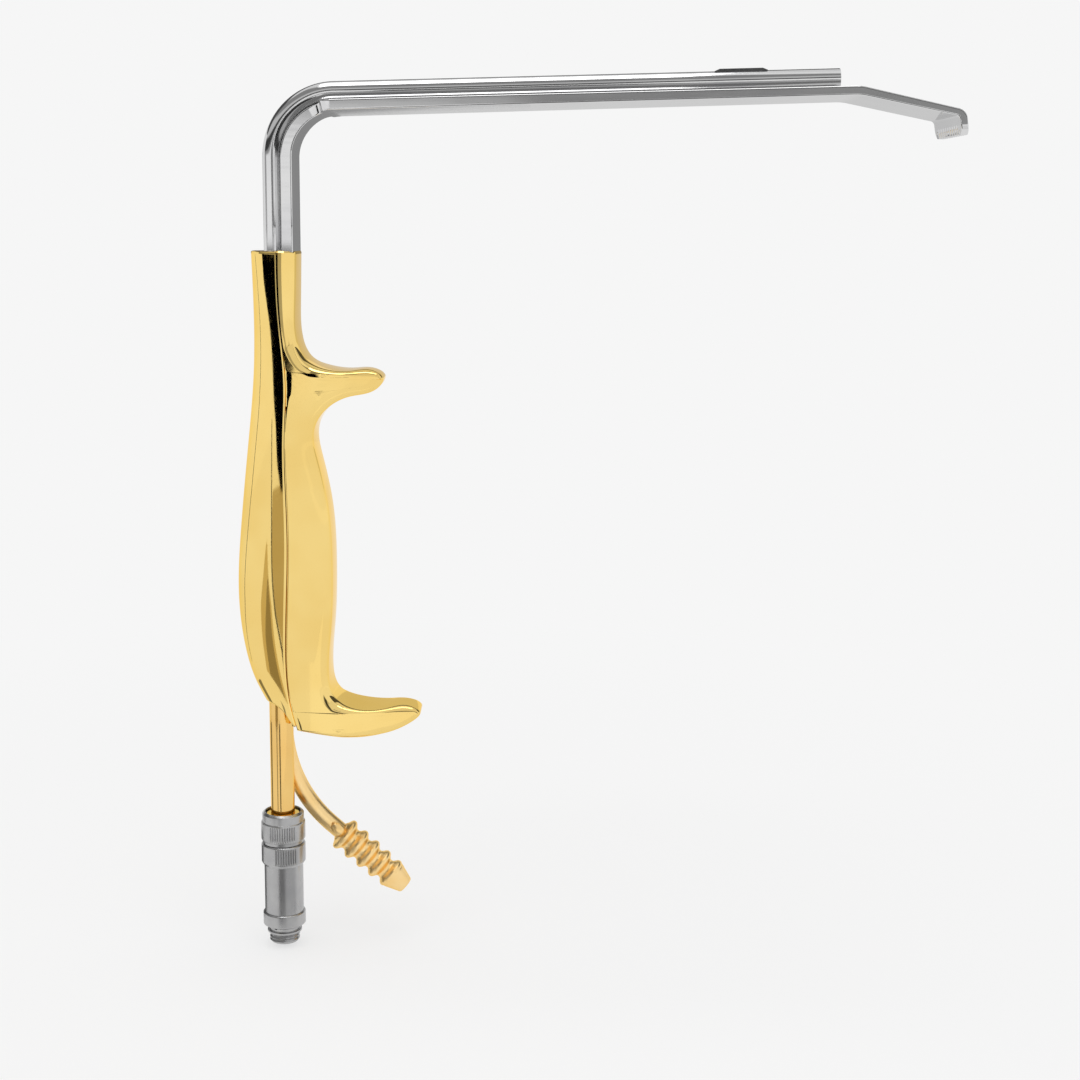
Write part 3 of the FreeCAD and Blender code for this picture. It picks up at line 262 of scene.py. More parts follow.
class Value:
    """One output socket of a finish, with arithmetic that adds Math nodes."""

    def __init__(self, finish, socket):
        self.finish = finish
        self.socket = socket

    def maths(self, operation, *others):
        """The result of a Math node on this value and the others."""
        made = self.finish.node("ShaderNodeMath", {"operation": operation},
                                dict(enumerate((self,) + others)))
        return made.out(0)

    def __add__(self, other):
        return self.maths("ADD", other)

    def __sub__(self, other):
        return self.maths("SUBTRACT", other)

    def __mul__(self, other):
        return self.maths("MULTIPLY", other)

    def __rsub__(self, other):
        return (self * -1.0) + other

    def clipped(self):
        """The value, held between 0 and 1."""
        return self.maths("MAXIMUM", 0.0).maths("MINIMUM", 1.0)

    def smooth(self, low, high):
        """A soft step from 0 at low to 1 at high."""
        made = self.finish.node("ShaderNodeMapRange", {"interpolation_type": "SMOOTHSTEP"},
                                {"Value": self, "From Min": low, "From Max": high})
        return made.out(0)

    def bands(self, first, *edges):
        """Tones side by side: the first, then at each edge (place, softness, tone) the next one."""
        tone = first
        before = first
        for place, soft, after in edges:
            tone = self.smooth(place - soft, place + soft) * (after - before) + tone
            before = after
        return tone


class Node:
    """A node of a finish, read through its outputs."""

    def __init__(self, finish, node):
        self.finish = finish
        self.node = node

    def out(self, key):
        return Value(self.finish, self.node.outputs[key])


class Finish:
    """A material, or the world: its tree and the one way in which nodes are added to it."""

    def __init__(self, owner):
        owner.use_nodes = True
        self.owner = owner
        self.tree = owner.node_tree
        self.tree.nodes.clear()

    def node(self, kind, settings=None, inputs=None):
        """A new node of this kind: its settings first, then its values and links."""
        made = self.tree.nodes.new(kind)
        for key, value in (settings or {}).items():
            setattr(made, key, value)
        for key, value in (inputs or {}).items():
            if isinstance(value, Value):
                self.tree.links.new(value.socket, made.inputs[key])
            else:
                made.inputs[key].default_value = value
        return Node(self, made)

    def place(self):
        """Object coordinates."""
        return self.node("ShaderNodeTexCoord").out("Object")

    def stretched(self, scale):
        """Object coordinates, scaled along each axis."""
        made = self.node("ShaderNodeMapping", {"vector_type": "POINT"},
                         {"Vector": self.place(), "Scale": scale})
        return made.out(0)

    def noise(self, scale, detail, where=None):
        made = self.node("ShaderNodeTexNoise", None, {
            "Vector": where or self.place(), "Scale": scale, "Detail": detail})
        return made.out("Fac")

    def blend(self, share, first, second):
        """A colour between two, by the share of the second."""
        made = self.node("ShaderNodeMix", {"data_type": "RGBA"}, {0: share, 6: first, 7: second})
        return made.out(2)

    def end(self, shader, kind="ShaderNodeOutputMaterial"):
        self.node(kind, None, {0: shader})


def colour(*codes):
    """A colour given as it shows on screen, 0 to 255, as the linear values that Blender uses."""
    share = np.asarray(codes, float) / 255.0
    linear = np.where(share <= 0.04045, share / 12.92, ((share + 0.055) / 1.055) ** 2.4)
    return (*linear.tolist(), 1.0)


def grey(tone):
    """A linear grey."""
    return (tone, tone, tone, 1.0)


WHITE = grey(1.0)
WARM_EDGE = (1.0, 0.84, 0.5, 1.0)
GREY_EDGE = grey(0.9)


def metal(name, light, deep, smoothest, roughest, grain=(1.0, 1.0, 1.0), wave=0.0, brush=0.0,
          patch=60.0, edge=WHITE):
    """Polished metal: two close tones by a slow noise, roughness by a finer one, waves and brush lines.

    Base Color = blend(noise(patch), light, deep); Roughness runs from smoothest to roughest with a
    noise stretched along the grain; the bump adds slow waves and the fine lines of the brush.
    """
    brush_scale, wave_scale = 900.0, 45.0
    finish = Finish(bpy.data.materials.new(name))
    slow = finish.noise(patch, 2.0).smooth(0.3, 0.7)
    lines = finish.noise(brush_scale, 4.0, finish.stretched(grain))
    rough = lines.smooth(0.25, 0.75) * (roughest - smoothest) + smoothest
    height = finish.noise(wave_scale, 1.0) * wave + lines * brush
    bump = finish.node("ShaderNodeBump", None, {"Strength": 1.0, "Distance": 1.0, "Height": height})
    shader = finish.node("ShaderNodeBsdfPrincipled", None, {
        "Base Color": finish.blend(slow, light, deep), "Metallic": 1.0, "Roughness": rough,
        "Specular Tint": edge, "Normal": bump.out(0)})
    finish.end(shader.out(0))
    return finish.owner


def plain(name, base, roughness, settings=None):
    """A material without metal: a fine speckle darkens it by up to 15 percent and roughens it by 0.1."""
    finish = Finish(bpy.data.materials.new(name))
    speckle = finish.noise(700.0, 3.0)
    darker = tuple(0.85 * c for c in base[:3]) + (1.0,)
    inputs = {"Base Color": finish.blend(speckle, base, darker), "Roughness": speckle * 0.1 + roughness}
    inputs.update(settings or {})
    finish.end(finish.node("ShaderNodeBsdfPrincipled", None, inputs).out(0))
    return finish.owner


def fibre_glass():
    """Ends of the glass fibres: small round cells with dark gaps, worked out from a cell pattern."""
    finish = Finish(bpy.data.materials.new("fibre_glass"))
    cells = finish.node("ShaderNodeTexVoronoi", {"feature": "DISTANCE_TO_EDGE"},
                        {"Vector": finish.place(), "Scale": 5000.0}).out("Distance")
    face = cells.smooth(0.02, 0.16)
    shader = finish.node("ShaderNodeBsdfPrincipled", None, {
        "Base Color": finish.blend(face, colour(70, 66, 58), colour(226, 228, 220)),
        "Roughness": 0.4 - face * 0.25})
    finish.end(shader.out(0))
    return finish.owner


GOLD = metal("polished_gold", colour(250, 219, 138), colour(246, 212, 128), 0.035, 0.07,
             wave=4e-6, edge=WARM_EDGE)
POST_GOLD = metal("post_gold", colour(246, 208, 132), colour(240, 196, 118), 0.06, 0.1, edge=WARM_EDGE)
BARB_GOLD = metal("cast_gold", colour(255, 222, 160), colour(252, 214, 146), 0.3, 0.35,
                  wave=1e-5, patch=160.0, edge=WARM_EDGE)
STEEL = metal("polished_steel", colour(220, 220, 220), colour(213, 213, 214), 0.05, 0.1,
              grain=(0.05, 1.0, 1.0), brush=2e-7, edge=GREY_EDGE)
TUBE_STEEL = metal("tube_steel", colour(222, 222, 222), colour(215, 215, 216), 0.06, 0.11,
                   grain=(0.1, 1.0, 0.1), brush=1e-7, edge=GREY_EDGE)
FITTING = metal("matt_steel", colour(184, 184, 184), colour(175, 175, 176), 0.26, 0.34,
                grain=(1.0, 1.0, 0.15), brush=4e-7, patch=200.0)
SADDLE_STEEL = metal("soldered_steel", colour(134, 134, 134), colour(122, 122, 123), 0.15, 0.25)
DARK_STEEL = metal("spring_steel", colour(70, 70, 72), colour(58, 58, 60), 0.25, 0.4)
RUBBER = plain("black_rubber", colour(22, 22, 22), 0.5)
GLASS = plain("rod_glass", colour(236, 240, 242), 0.03, {"IOR": 1.5, "Transmission Weight": 0.6})
FIBRES = fibre_glass()


# ---------------------------------------------------------------- blade and tubes

def along_blade(reach, below):
    """Height, at X = reach, of the line that runs this far below the tubes' lying axis."""
    return CORNER + reach * math.tan(RISE) - below / math.cos(RISE)


def bar_corner(inward):
    """Height of the corner of a line that lies this far inside both runs of the tubes' axis."""
    return CORNER - inward * (1 - math.sin(RISE)) / math.cos(RISE)


def blade_section(ease):
    """Closed outline of the bar: y = share (w - e) + out_y, depth = inner T + out_d.

    Its four corners are quarter circles of radius e, with a point on each flat close to them.
    """
    columns, margin = 161, 0.15
    bend = np.linspace(0, np.pi / 2, 5)
    flat = np.linspace(-1, 1, columns)
    rise, run = ease * (1 - np.cos(bend)), ease * np.sin(bend)
    back, away = ease * (1 - np.sin(bend)), ease * np.cos(bend)
    near = np.array([ease + margin, -ease - margin])
    zero, one, two = np.zeros(columns), np.ones(5), np.ones(2)
    share = np.concatenate([flat, one, two, one, -flat, -one, -two, -one])
    out_y = np.concatenate([zero, run, two * ease, away, zero, -run, -two * ease, -away])
    inner = np.concatenate([zero, 0 * one, (0, 1), one, zero + 1, one, (1, 0), 0 * one])
    out_d = np.concatenate([zero, rise, near, -back, zero, -rise, near[::-1], back])
    return share, out_y, inner, out_d


def blade_grid():
    """The bar as a rounded flat section carried along its bent line: P = O + A d - L g.

    O and I are the lines of its outer and inner face, with arcs at the bend, the crank and the lip.
    A is the direction from O to I, d the depth in the section, L the direction of the lip and g the
    depth of the grooves between the teeth, a triangle wave in Y that is deepest at the lip's edge.
    The half width steps from the stem to the blade over two quarter circles of radius S, and the
    lip's corners are quarter circles of radius C.
    """
    blade_length, crank_length, lip_lean, lip_drop, tip = 180.4, 29.0, 0.9, 6.3, 1.9
    foot = 138.0
    tang_half, stem_half, blade_half = 7.0, 8.0, 16.0
    shoulder_x, shoulder_radius = 14.5, 3.0
    lip_corner, lip_rows = 2.6, 3.2
    pitch, groove_width, groove_depth, toothed_half = 2.7, 1.5, 0.9, 13.4
    edge = 0.28

    lip = BAR_FRONT + blade_length
    crank = lip - crank_length
    fall = RISE - CRANK
    root = lip - lip_lean
    root_top = along_blade(crank, BAR_BACK) + (root - crank) * math.tan(fall)
    inner_top = root_top - tip * (math.tan(fall) + 1 / math.cos(fall))
    low = root_top - lip_drop
    outer = arcs([(BAR_BACK, foot), (BAR_BACK, bar_corner(BAR_BACK)), (crank, along_blade(crank, BAR_BACK)),
                  (root, root_top), (lip, low)], (14.65, 14.0, 3.2))
    inner = arcs([(BAR_FRONT, foot), (BAR_FRONT, bar_corner(BAR_FRONT)),
                  (crank, along_blade(crank, BAR_FRONT)), (root - tip, inner_top), (lip - tip, low)],
                 (12.05, 14.0, 1.3))

    # Rows of the grid, as places between the points of the two lines.
    last = len(outer) - 1
    step = np.arange(last + 1.0)
    middle_x = (outer[:, 0] + inner[:, 0]) / 2
    past_shoulder = np.searchsorted(middle_x[1:last // 2], 22.0) + 1
    quarter = np.linspace(0, np.pi / 2, 9)
    bow, rise = shoulder_radius * np.sin(quarter), shoulder_radius * (1 - np.cos(quarter))
    concave = np.stack([shoulder_x - shoulder_radius + bow, stem_half + rise], axis=1)
    convex = np.stack([shoulder_x + rise, blade_half - shoulder_radius + bow], axis=1)
    shoulder = np.vstack([concave, convex])
    shoulder_at = np.interp(shoulder[:, 0], middle_x[1:past_shoulder], step[1:past_shoulder])
    before = step[step < shoulder_at[0] - 0.05]
    after = step[(step > shoulder_at[-1] + 0.05) & (step < last)]
    entry = (np.array([HANDLE_TOP - 0.5, HANDLE_TOP - 0.2]) - foot) / (outer[1, 1] - foot)
    before = np.concatenate([before[:1], entry, before[1:]])
    from_edge = lip_rows * (1 - np.sin(np.linspace(0, np.pi / 2, 14)))
    lip_length = np.linalg.norm(outer[-1] - outer[-2])
    at = np.concatenate([before, shoulder_at, after, last - from_edge / lip_length])

    # Half width and thickness there: the tang is thinner, the stem a little thicker than the blade.
    cut = lip_corner - np.clip(from_edge, 0, lip_corner)
    end_width = blade_half - lip_corner + np.sqrt(np.maximum(lip_corner ** 2 - cut ** 2, 0))
    width = np.concatenate([np.full(2, tang_half), np.full(len(before) - 2, stem_half), shoulder[:, 1],
                            np.full(len(after), blade_half), end_width])[:, None]
    o = np.stack([np.interp(at, step, outer[:, k]) for k in (0, 1)], axis=1)
    i = np.stack([np.interp(at, step, inner[:, k]) for k in (0, 1)], axis=1)
    blade_share = np.clip((i[:, 0] - 8.0) / 20.0, 0, 1)
    stem_more = np.where(i[:, 1] > HANDLE_TOP - 0.3, 0.5, -0.7)
    blade_less = 0.25 * np.clip((184.0 - i[:, 0]) / 12.0, 0, 1)
    more = (1 - blade_share) * stem_more - blade_share * blade_less
    i = i + unit(i - o) * more[:, None]
    thick = np.linalg.norm(i - o, axis=1)[:, None]

    share, out_y, inner_face, out_d = blade_section(edge)
    y = share * (width - edge) + out_y
    depth = inner_face * thick + out_d
    from_groove = np.abs(((y / pitch + 0.5) % 1.0) - 0.5) * 2 * pitch / groove_width
    wave = np.clip(1 - from_groove, 0, 1) * (np.abs(y) < toothed_half)
    back = np.concatenate([np.full(len(at) - len(from_edge), np.inf), from_edge])[:, None]
    groove = groove_depth * wave * np.clip(1 - back / lip_corner, 0, 1) ** 0.6
    depth = depth - groove * (depth > 0.6 * thick)
    along = unit(outer[-1] - outer[-2])
    flat = o[:, None] + unit(i - o)[:, None] * depth[..., None] - along * groove[..., None]
    grid = np.stack([flat[..., 0], MIDDLE + y, flat[..., 1]], axis=-1)
    first = grid[0].copy()
    first[:, 0] = (BAR_BACK + BAR_FRONT) / 2
    end = grid[-1].copy()
    end[:, 0] = lip - tip / 2 - along[0] * groove[-1]
    end[:, 2] = low - along[1] * groove[-1]
    return np.concatenate([first[None], grid, end[None]])


surface("blade_bar", blade_grid(), "instrument", STEEL, ("blade",))

light_line = bent_line(74.4, CORNER, RISE, TUBE_BEND, 153.2, 0.0)
suction_line = bent_line(100.6, CORNER, RISE, TUBE_BEND, 148.2, ASIDE)
branch_line = bent_line(100.6, BRANCH_CORNER, -BRANCH_FALL, 40.0, 25.2 * math.cos(BRANCH_FALL), ASIDE)
surface("light_tube", carried(light_line, tube_rows(light_line, TUBE, TUBE_BORE, 7.0)), "instrument",
        TUBE_STEEL, ("light_guide_tube",))
surface("suction_pipe", carried(suction_line, tube_rows(suction_line, TUBE, TUBE_BORE, 20.0)), "instrument",
        TUBE_STEEL, ("suction_tube",))
surface("branch_pipe", carried(branch_line, tube_rows(branch_line, 2.45, 1.75, 3.0)), "instrument",
        BARB_GOLD, ("suction_branch",))


# ---------------------------------------------------------------- handle

def seam_line(count):
    """Side view of the seam: a spline through its distances X at shares of the cover's length."""
    x = np.array([1.5, 2.0, 3.5, 3.0, 3.3, 2.4, 3.6, 5.4])
    share = np.array([0, 0.14, 0.28, 0.39, 0.62, 0.87, 0.99, 1.045])
    return spline(np.stack([x, HANDLE_TOP - share * COVER_LENGTH], axis=1), count)


def front_line(count):
    """Side view of the grip's front: a spline from the top over both hooks to the seam's lower end."""
    neck, waist, belly = 6.5, 11.0, 15.5
    upper, upper_tip = UPPER_HOOK
    lower, lower_tip = LOWER_HOOK
    between = upper_tip - lower_tip
    return spline([
        (neck, HANDLE_TOP), (neck - 0.4, upper_tip + 20.0), (neck + 0.1, upper_tip + 10.2),
        (neck + 2.6, upper_tip + 5.1), (neck + 7.6, upper_tip + 2.7), (upper - 9.0, upper_tip + 2.1),
        (upper - 2.3, upper_tip + 2.0), (upper, upper_tip), (upper - 1.6, upper_tip - 2.8),
        (upper - 9.2, upper_tip - 5.1), (waist + 3.6, upper_tip - 8.3), (waist, upper_tip - 0.145 * between),
        (waist + 0.2 * (belly - waist), upper_tip - 0.245 * between),
        (waist + 0.76 * (belly - waist), upper_tip - 0.37 * between), (belly, upper_tip - 0.56 * between),
        (belly - 0.6, upper_tip - 0.745 * between), (belly - 1.4, lower_tip + 12.2),
        (belly + 0.4, lower_tip + 4.9), (belly + 7.3, lower_tip + 1.6), (lower - 8.8, lower_tip + 1.7),
        (lower - 3.1, lower_tip + 1.9), (lower, lower_tip), (lower - 3.4, lower_tip - 3.5),
        (lower - 10.3, lower_tip - 6.1), (lower - 19.0, lower_tip - 6.7), (lower - 27.7, lower_tip - 5.6),
        (lower - 34.6, lower_tip - 4.2)], count)


def half_width(x, z):
    """Half the grip's thickness at a point of its side view: it narrows by 4.5 mm along each hook."""
    shares = spline([(0, 0), (0.3, 0.25), (0.65, 0.72), (1.0, 1.0), (1.3, 1.1)], 60)
    upper_root, lower_root = 13.2, 17.7
    upper = np.interp((x - upper_root) / (UPPER_HOOK[0] - upper_root), shares[:, 0], shares[:, 1])
    lower = np.interp((x - lower_root) / (LOWER_HOOK[0] - lower_root), shares[:, 0], shares[:, 1])
    share = np.where(np.abs(z - UPPER_HOOK[1]) < 14, upper, np.where(z < 84, lower, 0.0))
    return HALF - 4.5 * share


def rounding_radii(line, spine):
    """Radius R of the grip's rounding at each point of its front line.

    It grows from 2.0 mm at the hooks' tips to 4.4 mm between them. On top of a hook it is no more
    than the height over the hook's middle, under the lower hook it follows a table in X, and it is
    always less than the distance from the ring's inner end, so that no ring folds over.
    """
    from_upper = np.linalg.norm(line - UPPER_HOOK, axis=1)
    from_lower = np.linalg.norm(line - LOWER_HOOK, axis=1)
    radius = np.interp(np.minimum(from_upper, from_lower), (0, 6, 16, 34), (2.0, 2.2, 3.0, 4.4))
    order = np.arange(len(line))
    upper_tip = np.argmax(line[:, 0] * (line[:, 1] > 150))
    lower_tip = np.argmax(line[:, 0])
    on_upper = order < upper_tip
    on_lower = (order < lower_tip) & (line[:, 1] < 90)
    above = line[:, 1] - np.where(on_upper, UPPER_HOOK[1] + 0.4, LOWER_HOOK[1] + 0.35)
    radius = np.where(on_upper | on_lower, np.minimum(radius, np.maximum(above, 1.0)), radius)
    underside = np.interp(line[:, 0], (5.4, 12.3, 21, 29.7, 40), (0.3, 1.0, 2.2, 2.8, 2.0))
    radius = np.where(order > lower_tip, np.minimum(radius, underside), radius)
    return np.minimum(radius, 0.9 * np.maximum(np.linalg.norm(line - spine, axis=1), 0.4))


def grip_grid():
    """The grip as rings across its side view, from the seam over the rounded front to the seam.

    Each ring starts at the seam, dips there by the groove, and runs flat to the inner edge p + n R
    of the rounding. That goes over d = R (1 - sin f), y = H - R (1 - cos f), and the ring mirrors
    itself on the far side.
    """
    groove = (0.3, 0.08, 0.0)
    groove_shares = (0.0, 0.02, 0.05)
    top_ease = 0.35
    line = front_line(520)
    tangent = unit(np.gradient(line, axis=0))
    normal = np.stack([tangent[:, 1], -tangent[:, 0]], axis=1)
    seam = seam_line(400)
    height = np.maximum(np.minimum.accumulate(line[:, 1]), seam[-1, 1])
    spine = np.stack([np.interp(-height, -seam[:, 1], seam[:, 0]), height], axis=1)
    radius = rounding_radii(line, spine)[:, None]
    f = np.linspace(0, np.pi / 2, 12)
    rim = line[:, None] + normal[:, None] * (radius * (1 - np.sin(f)))[..., None]
    share = np.concatenate([groove_shares, np.linspace(0, 1, 14)[1:-1]])[None, :, None]
    flat = spine[:, None] * (1 - share) + rim[:, :1] * share
    plan = np.concatenate([flat, rim], axis=1)
    dip = np.concatenate([groove, np.zeros(share.size - len(groove))])
    dip = np.broadcast_to(dip, (len(line), share.size))
    drop = np.concatenate([dip, radius * (1 - np.cos(f))], axis=1)
    y = half_width(plan[..., 0], plan[..., 1]) - drop
    near = np.stack([plan[..., 0], MIDDLE - y, plan[..., 1]], axis=-1)
    far = np.stack([plan[..., 0], MIDDLE + y, plan[..., 1]], axis=-1)[:, ::-1]
    grid = np.concatenate([near, far], axis=1)
    middle = grid[0].mean(axis=0)
    grid[0] = grid[0] + unit(middle - grid[0]) * top_ease
    first = np.broadcast_to(middle, grid[0].shape)
    last = np.broadcast_to(grid[-1].mean(axis=0), grid[-1].shape)
    return np.concatenate([first[None], grid, last[None]])


surface("grip", grip_grid(), "instrument", GOLD, ("front_grip",))


def back_of(height):
    """How far behind the light axis the cover reaches at each height: a spline over its length."""
    neck, palm = 6.6, 11.9
    share = np.array([0, 0.25, 0.42, 0.61, 0.75, 0.865, 0.95, 1.01, 1.055])
    back = np.array([neck, neck * 0.97, neck + (palm - neck) * 0.35, neck + (palm - neck) * 0.83, palm,
                     palm * 0.875, palm * 0.6, palm * 0.27, palm * 0.1])
    line = spline(np.stack([back, HANDLE_TOP - share * COVER_LENGTH], axis=1), 400)
    return np.interp(-height, -line[:, 1], line[:, 0])


def cover_grid():
    """The cover as half rounds behind the seam, from its eased rim down to its slanted lower edge.

    At height z its section is x = C - (C + b) cos(q)^(2/p) with b(z) the reach behind the axis, and
    y = H (sin q / sin Q)^(2/p), so that it reaches the full width H at the seam's angle Q. The lower
    edge is where the section meets the slant line, found by halving steps towards it. Two columns at
    each side turn the edge inward.
    """
    centre, power = 4.6, 2.2
    gap = 0.35
    edge_ahead, edge_in = (0.35, 0.25), (0.3, 0.07)
    seam = seam_line(600)
    slant = spline([(-16.0, 74.1), (-3.4, 73.1), (-0.6, 72.5), (1.3, 71.2), (3.0, 68.9), (5.4, 65.6),
                    (5.6, 65.3)], 400)
    levels = np.concatenate([[0.0, 0.001, 0.003], np.linspace(0.006, 1, 300)])[:, None]
    rim = np.concatenate([[0.35, 0.1, 0.0], np.zeros(300)])[:, None]
    t = np.linspace(-1, 1, 121)[None, :]

    def section(z):
        """X and the share of the half width in Y, along the section at the heights z."""
        back = back_of(z)
        front = np.interp(-z, -seam[:, 1], seam[:, 0]) - gap
        widest = np.arccos(np.clip((centre - front) / (centre + back), 0, 1) ** (power / 2))
        q = widest * t
        x = centre - (centre + back) * np.cos(q) ** (2 / power)
        return x, np.sign(q) * (np.abs(np.sin(q)) / np.sin(widest)) ** (2 / power)

    low = np.full(t.shape, 68.0)
    for _ in range(30):
        low = 0.5 * low + 0.5 * np.interp(section(low)[0], slant[:, 0], slant[:, 1])
    z = HANDLE_TOP - levels * (HANDLE_TOP - low)
    x, y = section(z)
    x = x + rim * np.cos(t * np.pi / 2)
    y = y * (HALF - rim)
    left, right = (0, 0), (-1, -1)
    x = np.hstack([x[:, left] + edge_ahead, x, x[:, right] + edge_ahead[::-1]])
    y = np.hstack([y[:, left] + edge_in, y, y[:, right] - edge_in[::-1]])
    z = np.hstack([z[:, left], z, z[:, right]])
    return np.stack([x, MIDDLE + y, z], axis=-1)


cover = surface("cover", cover_grid(), "instrument", GOLD, ("back_cover",), around=False)
wall = cover.modifiers.new("wall", "SOLIDIFY")
wall.thickness = 1.2 * MM
wall.offset = -1.0


# ---------------------------------------------------------------- post, connector and barb
# Outlines of turned pieces are lists of (radius, height) in mm.

def looped(points, reach):
    """A closed profile with eased corners, its first point repeated at its end."""
    ring = eased(points, reach)
    return np.vstack([ring, ring[:1]])


def with_levels(profile, shortest, count):
    """The profile with each upright run longer than the shortest divided into equal parts."""
    step = np.diff(profile, axis=0)
    run = np.flatnonzero((step[:, 0] == 0) & (np.abs(step[:, 1]) > shortest))
    share = np.arange(1, count) / count
    extra = profile[run, None] + step[run, None] * share[None, :, None]
    return np.insert(profile, np.repeat(run + 1, count - 1), extra.reshape(-1, 2), axis=0)


def faded(h, low, high):
    """1 between two heights, down to 0 at both over a quarter of a millimetre."""
    return np.clip((h - low) / 0.25, 0, 1) * np.clip((high - h) / 0.25, 0, 1)


def knurled(low, high, phase, patch):
    """Straight grooves between two heights in three patches: r - d (1 - |sin(n q)|^0.7) inside each.

    The patches lie 120 degrees apart, the first at the phase, each reaching patch degrees to both
    sides.
    """
    depth, pitch, inner_radius = 0.28, 6.5, 5.9

    def swell(r, h, q):
        """Only points outside the inner radius are moved."""
        angle = np.degrees(q) - phase
        off = np.abs((angle + 60.0) % 120.0 - 60.0)
        inside = np.clip((patch - off) / 1.5, 0, 1)
        ridge = np.abs(np.sin(np.radians(angle) * 180.0 / pitch)) ** 0.7
        outer = np.clip((r - inner_radius) / 0.2, 0, 1)
        return r - depth * (1 - ridge) * inside * faded(h, low, high) * outer, h
    return swell


def threaded(low, high):
    """A thread of 1 mm pitch: r - d times a triangle wave of h - q / 2 pi, faded at both ends."""
    depth, bore = 0.42, 3.8

    def swell(r, h, q):
        """Only points outside the bore are moved."""
        wave = np.abs(((h - q / (2 * np.pi)) % 1.0) - 0.5) * 2
        return r - depth * wave * faded(h, low, high) * (r > bore), h
    return swell


post_outline = eased([(0.0, 31.5), (3.4, 31.5), (3.4, 93.4), (0.0, 93.4)], 0.1, closed=False)
surface("post", turned(post_outline), "instrument", POST_GOLD, ("light_post",))
flange_outline = looped([(3.4, 39.1), (3.4, 28.5), (4.3, 28.5), (4.3, 38.1), (4.7, 38.1), (4.7, 39.1)], 0.15)
surface("flange", turned(flange_outline), "instrument", GOLD, ("threaded_nipple",))

nut_outline = looped([
    (5.1, 39.7), (5.4, 39.7), (6.0, 39.1), (6.0, 36.8), (6.15, 36.8), (6.35, 36.5), (6.35, 31.6),
    (6.15, 31.3), (5.85, 31.3), (5.85, 30.3), (5.05, 30.3), (5.05, 34.3), (4.35, 34.3), (4.35, 37.4),
    (5.1, 37.4)], 0.14)
nut_outline = with_levels(nut_outline, 2.45, 14)
surface("nut", turned(nut_outline, columns=720, swell=knurled(31.9, 36.2, 95.5, 37.0)), "nut", FITTING,
        ("union_nut",))
ring_outline = looped([(5.6, 23.8), (5.75, 23.8), (6.35, 24.7), (6.35, 29.9), (6.05, 30.2), (5.6, 30.2)],
                      0.14)
ring_outline = with_levels(ring_outline, 2.6, 14)
surface("ring", turned(ring_outline, columns=720, swell=knurled(25.0, 29.6, 104.5, 31.0)), "adapter",
        FITTING, ("grip_ring",))
barrel_outline = looped([(4.4, 6.6), (5.6, 6.6), (5.6, 30.2), (5.0, 30.2), (5.0, 34.0), (4.4, 34.0)], 0.12)
surface("barrel", turned(barrel_outline), "adapter", FITTING, ("adapter_barrel",))
collar_outline = looped([(4.4, 4.9), (4.9, 4.9), (6.15, 5.6), (6.15, 9.0), (5.85, 9.3), (5.6, 9.3),
                         (5.6, 6.6), (4.4, 6.6)], 0.14)
surface("collar", turned(collar_outline, columns=180), "adapter", FITTING, ("lower_collar",))
end_outline = looped([(2.5, 0.0), (3.9, 0.0), (3.9, 0.5), (4.4, 0.55), (4.4, 3.1), (5.0, 3.1), (5.0, 3.7),
                      (4.4, 3.7), (4.4, 9.0), (2.5, 9.0)], 0.1)
end_outline = with_levels(end_outline, 1.275, 36)
surface("thread_end", turned(end_outline, columns=180, swell=threaded(0.5, 3.1)), "adapter", FITTING,
        ("threaded_end",))

barb_axis = np.array([math.cos(BRANCH_FALL), 0.0, -math.sin(BRANCH_FALL)])
barb_root = np.array([0.0, ASIDE, BRANCH_CORNER]) + 21.2 * barb_axis


def barb_profile():
    """Five rounded rings with narrow valleys between them, then a long cone to the open nose.

    Ring k has its crest at 1.8 + 4.45 k and is 9.9 - 0.26 k across; the valleys narrow by 0.3 each.
    """
    outline = [(0.0, 0.0), (2.9, 0.0), (3.2, 0.4)]
    for ring in range(5):
        crest, middle = (9.9 - 0.26 * ring) / 2, 1.8 + 4.45 * ring
        if ring:
            outline += [((7.2 - 0.3 * ring) / 2, middle - 4.45 + 1.7), ((7.2 - 0.3 * ring) / 2, middle - 1.7)]
        outline += [(crest - 0.3, middle - 0.75), (crest, middle - 0.3), (crest, middle + 0.3),
                    (crest - 0.3, middle + 0.75)]
    outline += [(4.1, 20.7), (2.45, 25.4), (1.6, 25.4), (1.6, 9.0), (0.0, 9.0)]
    return eased(outline, 0.55, closed=False)


def solder_grid():
    """A drop of solder over the joint: an ellipsoid C + a cos u A + b sin u cos v B + c sin u sin v Y.

    Two low waves in u and v make it uneven.
    """
    u = np.linspace(0, np.pi, 40)[:, None]
    v = np.linspace(0, 2 * np.pi, 64, endpoint=False)[None, :]
    bump = 1 + 0.06 * np.sin(3 * v + 1.0) * np.sin(u) ** 2 + 0.05 * np.cos(2 * u + v)
    along = (2.6 * bump * np.cos(u))[..., None]
    across = (1.75 * bump * np.sin(u) * np.cos(v))[..., None]
    aside = (1.5 * bump * np.sin(u) * np.sin(v))[..., None]
    y_axis = np.array([0.0, 1.0, 0.0])
    centre = barb_root - 0.9 * barb_axis + np.array([0.3, -2.3, 0.6])
    return centre + along * barb_axis + across * np.cross(barb_axis, y_axis) + aside * y_axis


surface("barb", turned(barb_profile(), barb_root, barb_axis), "instrument", BARB_GOLD, ("hose_barb",))
surface("solder_drop", solder_grid(), "instrument", BARB_GOLD)

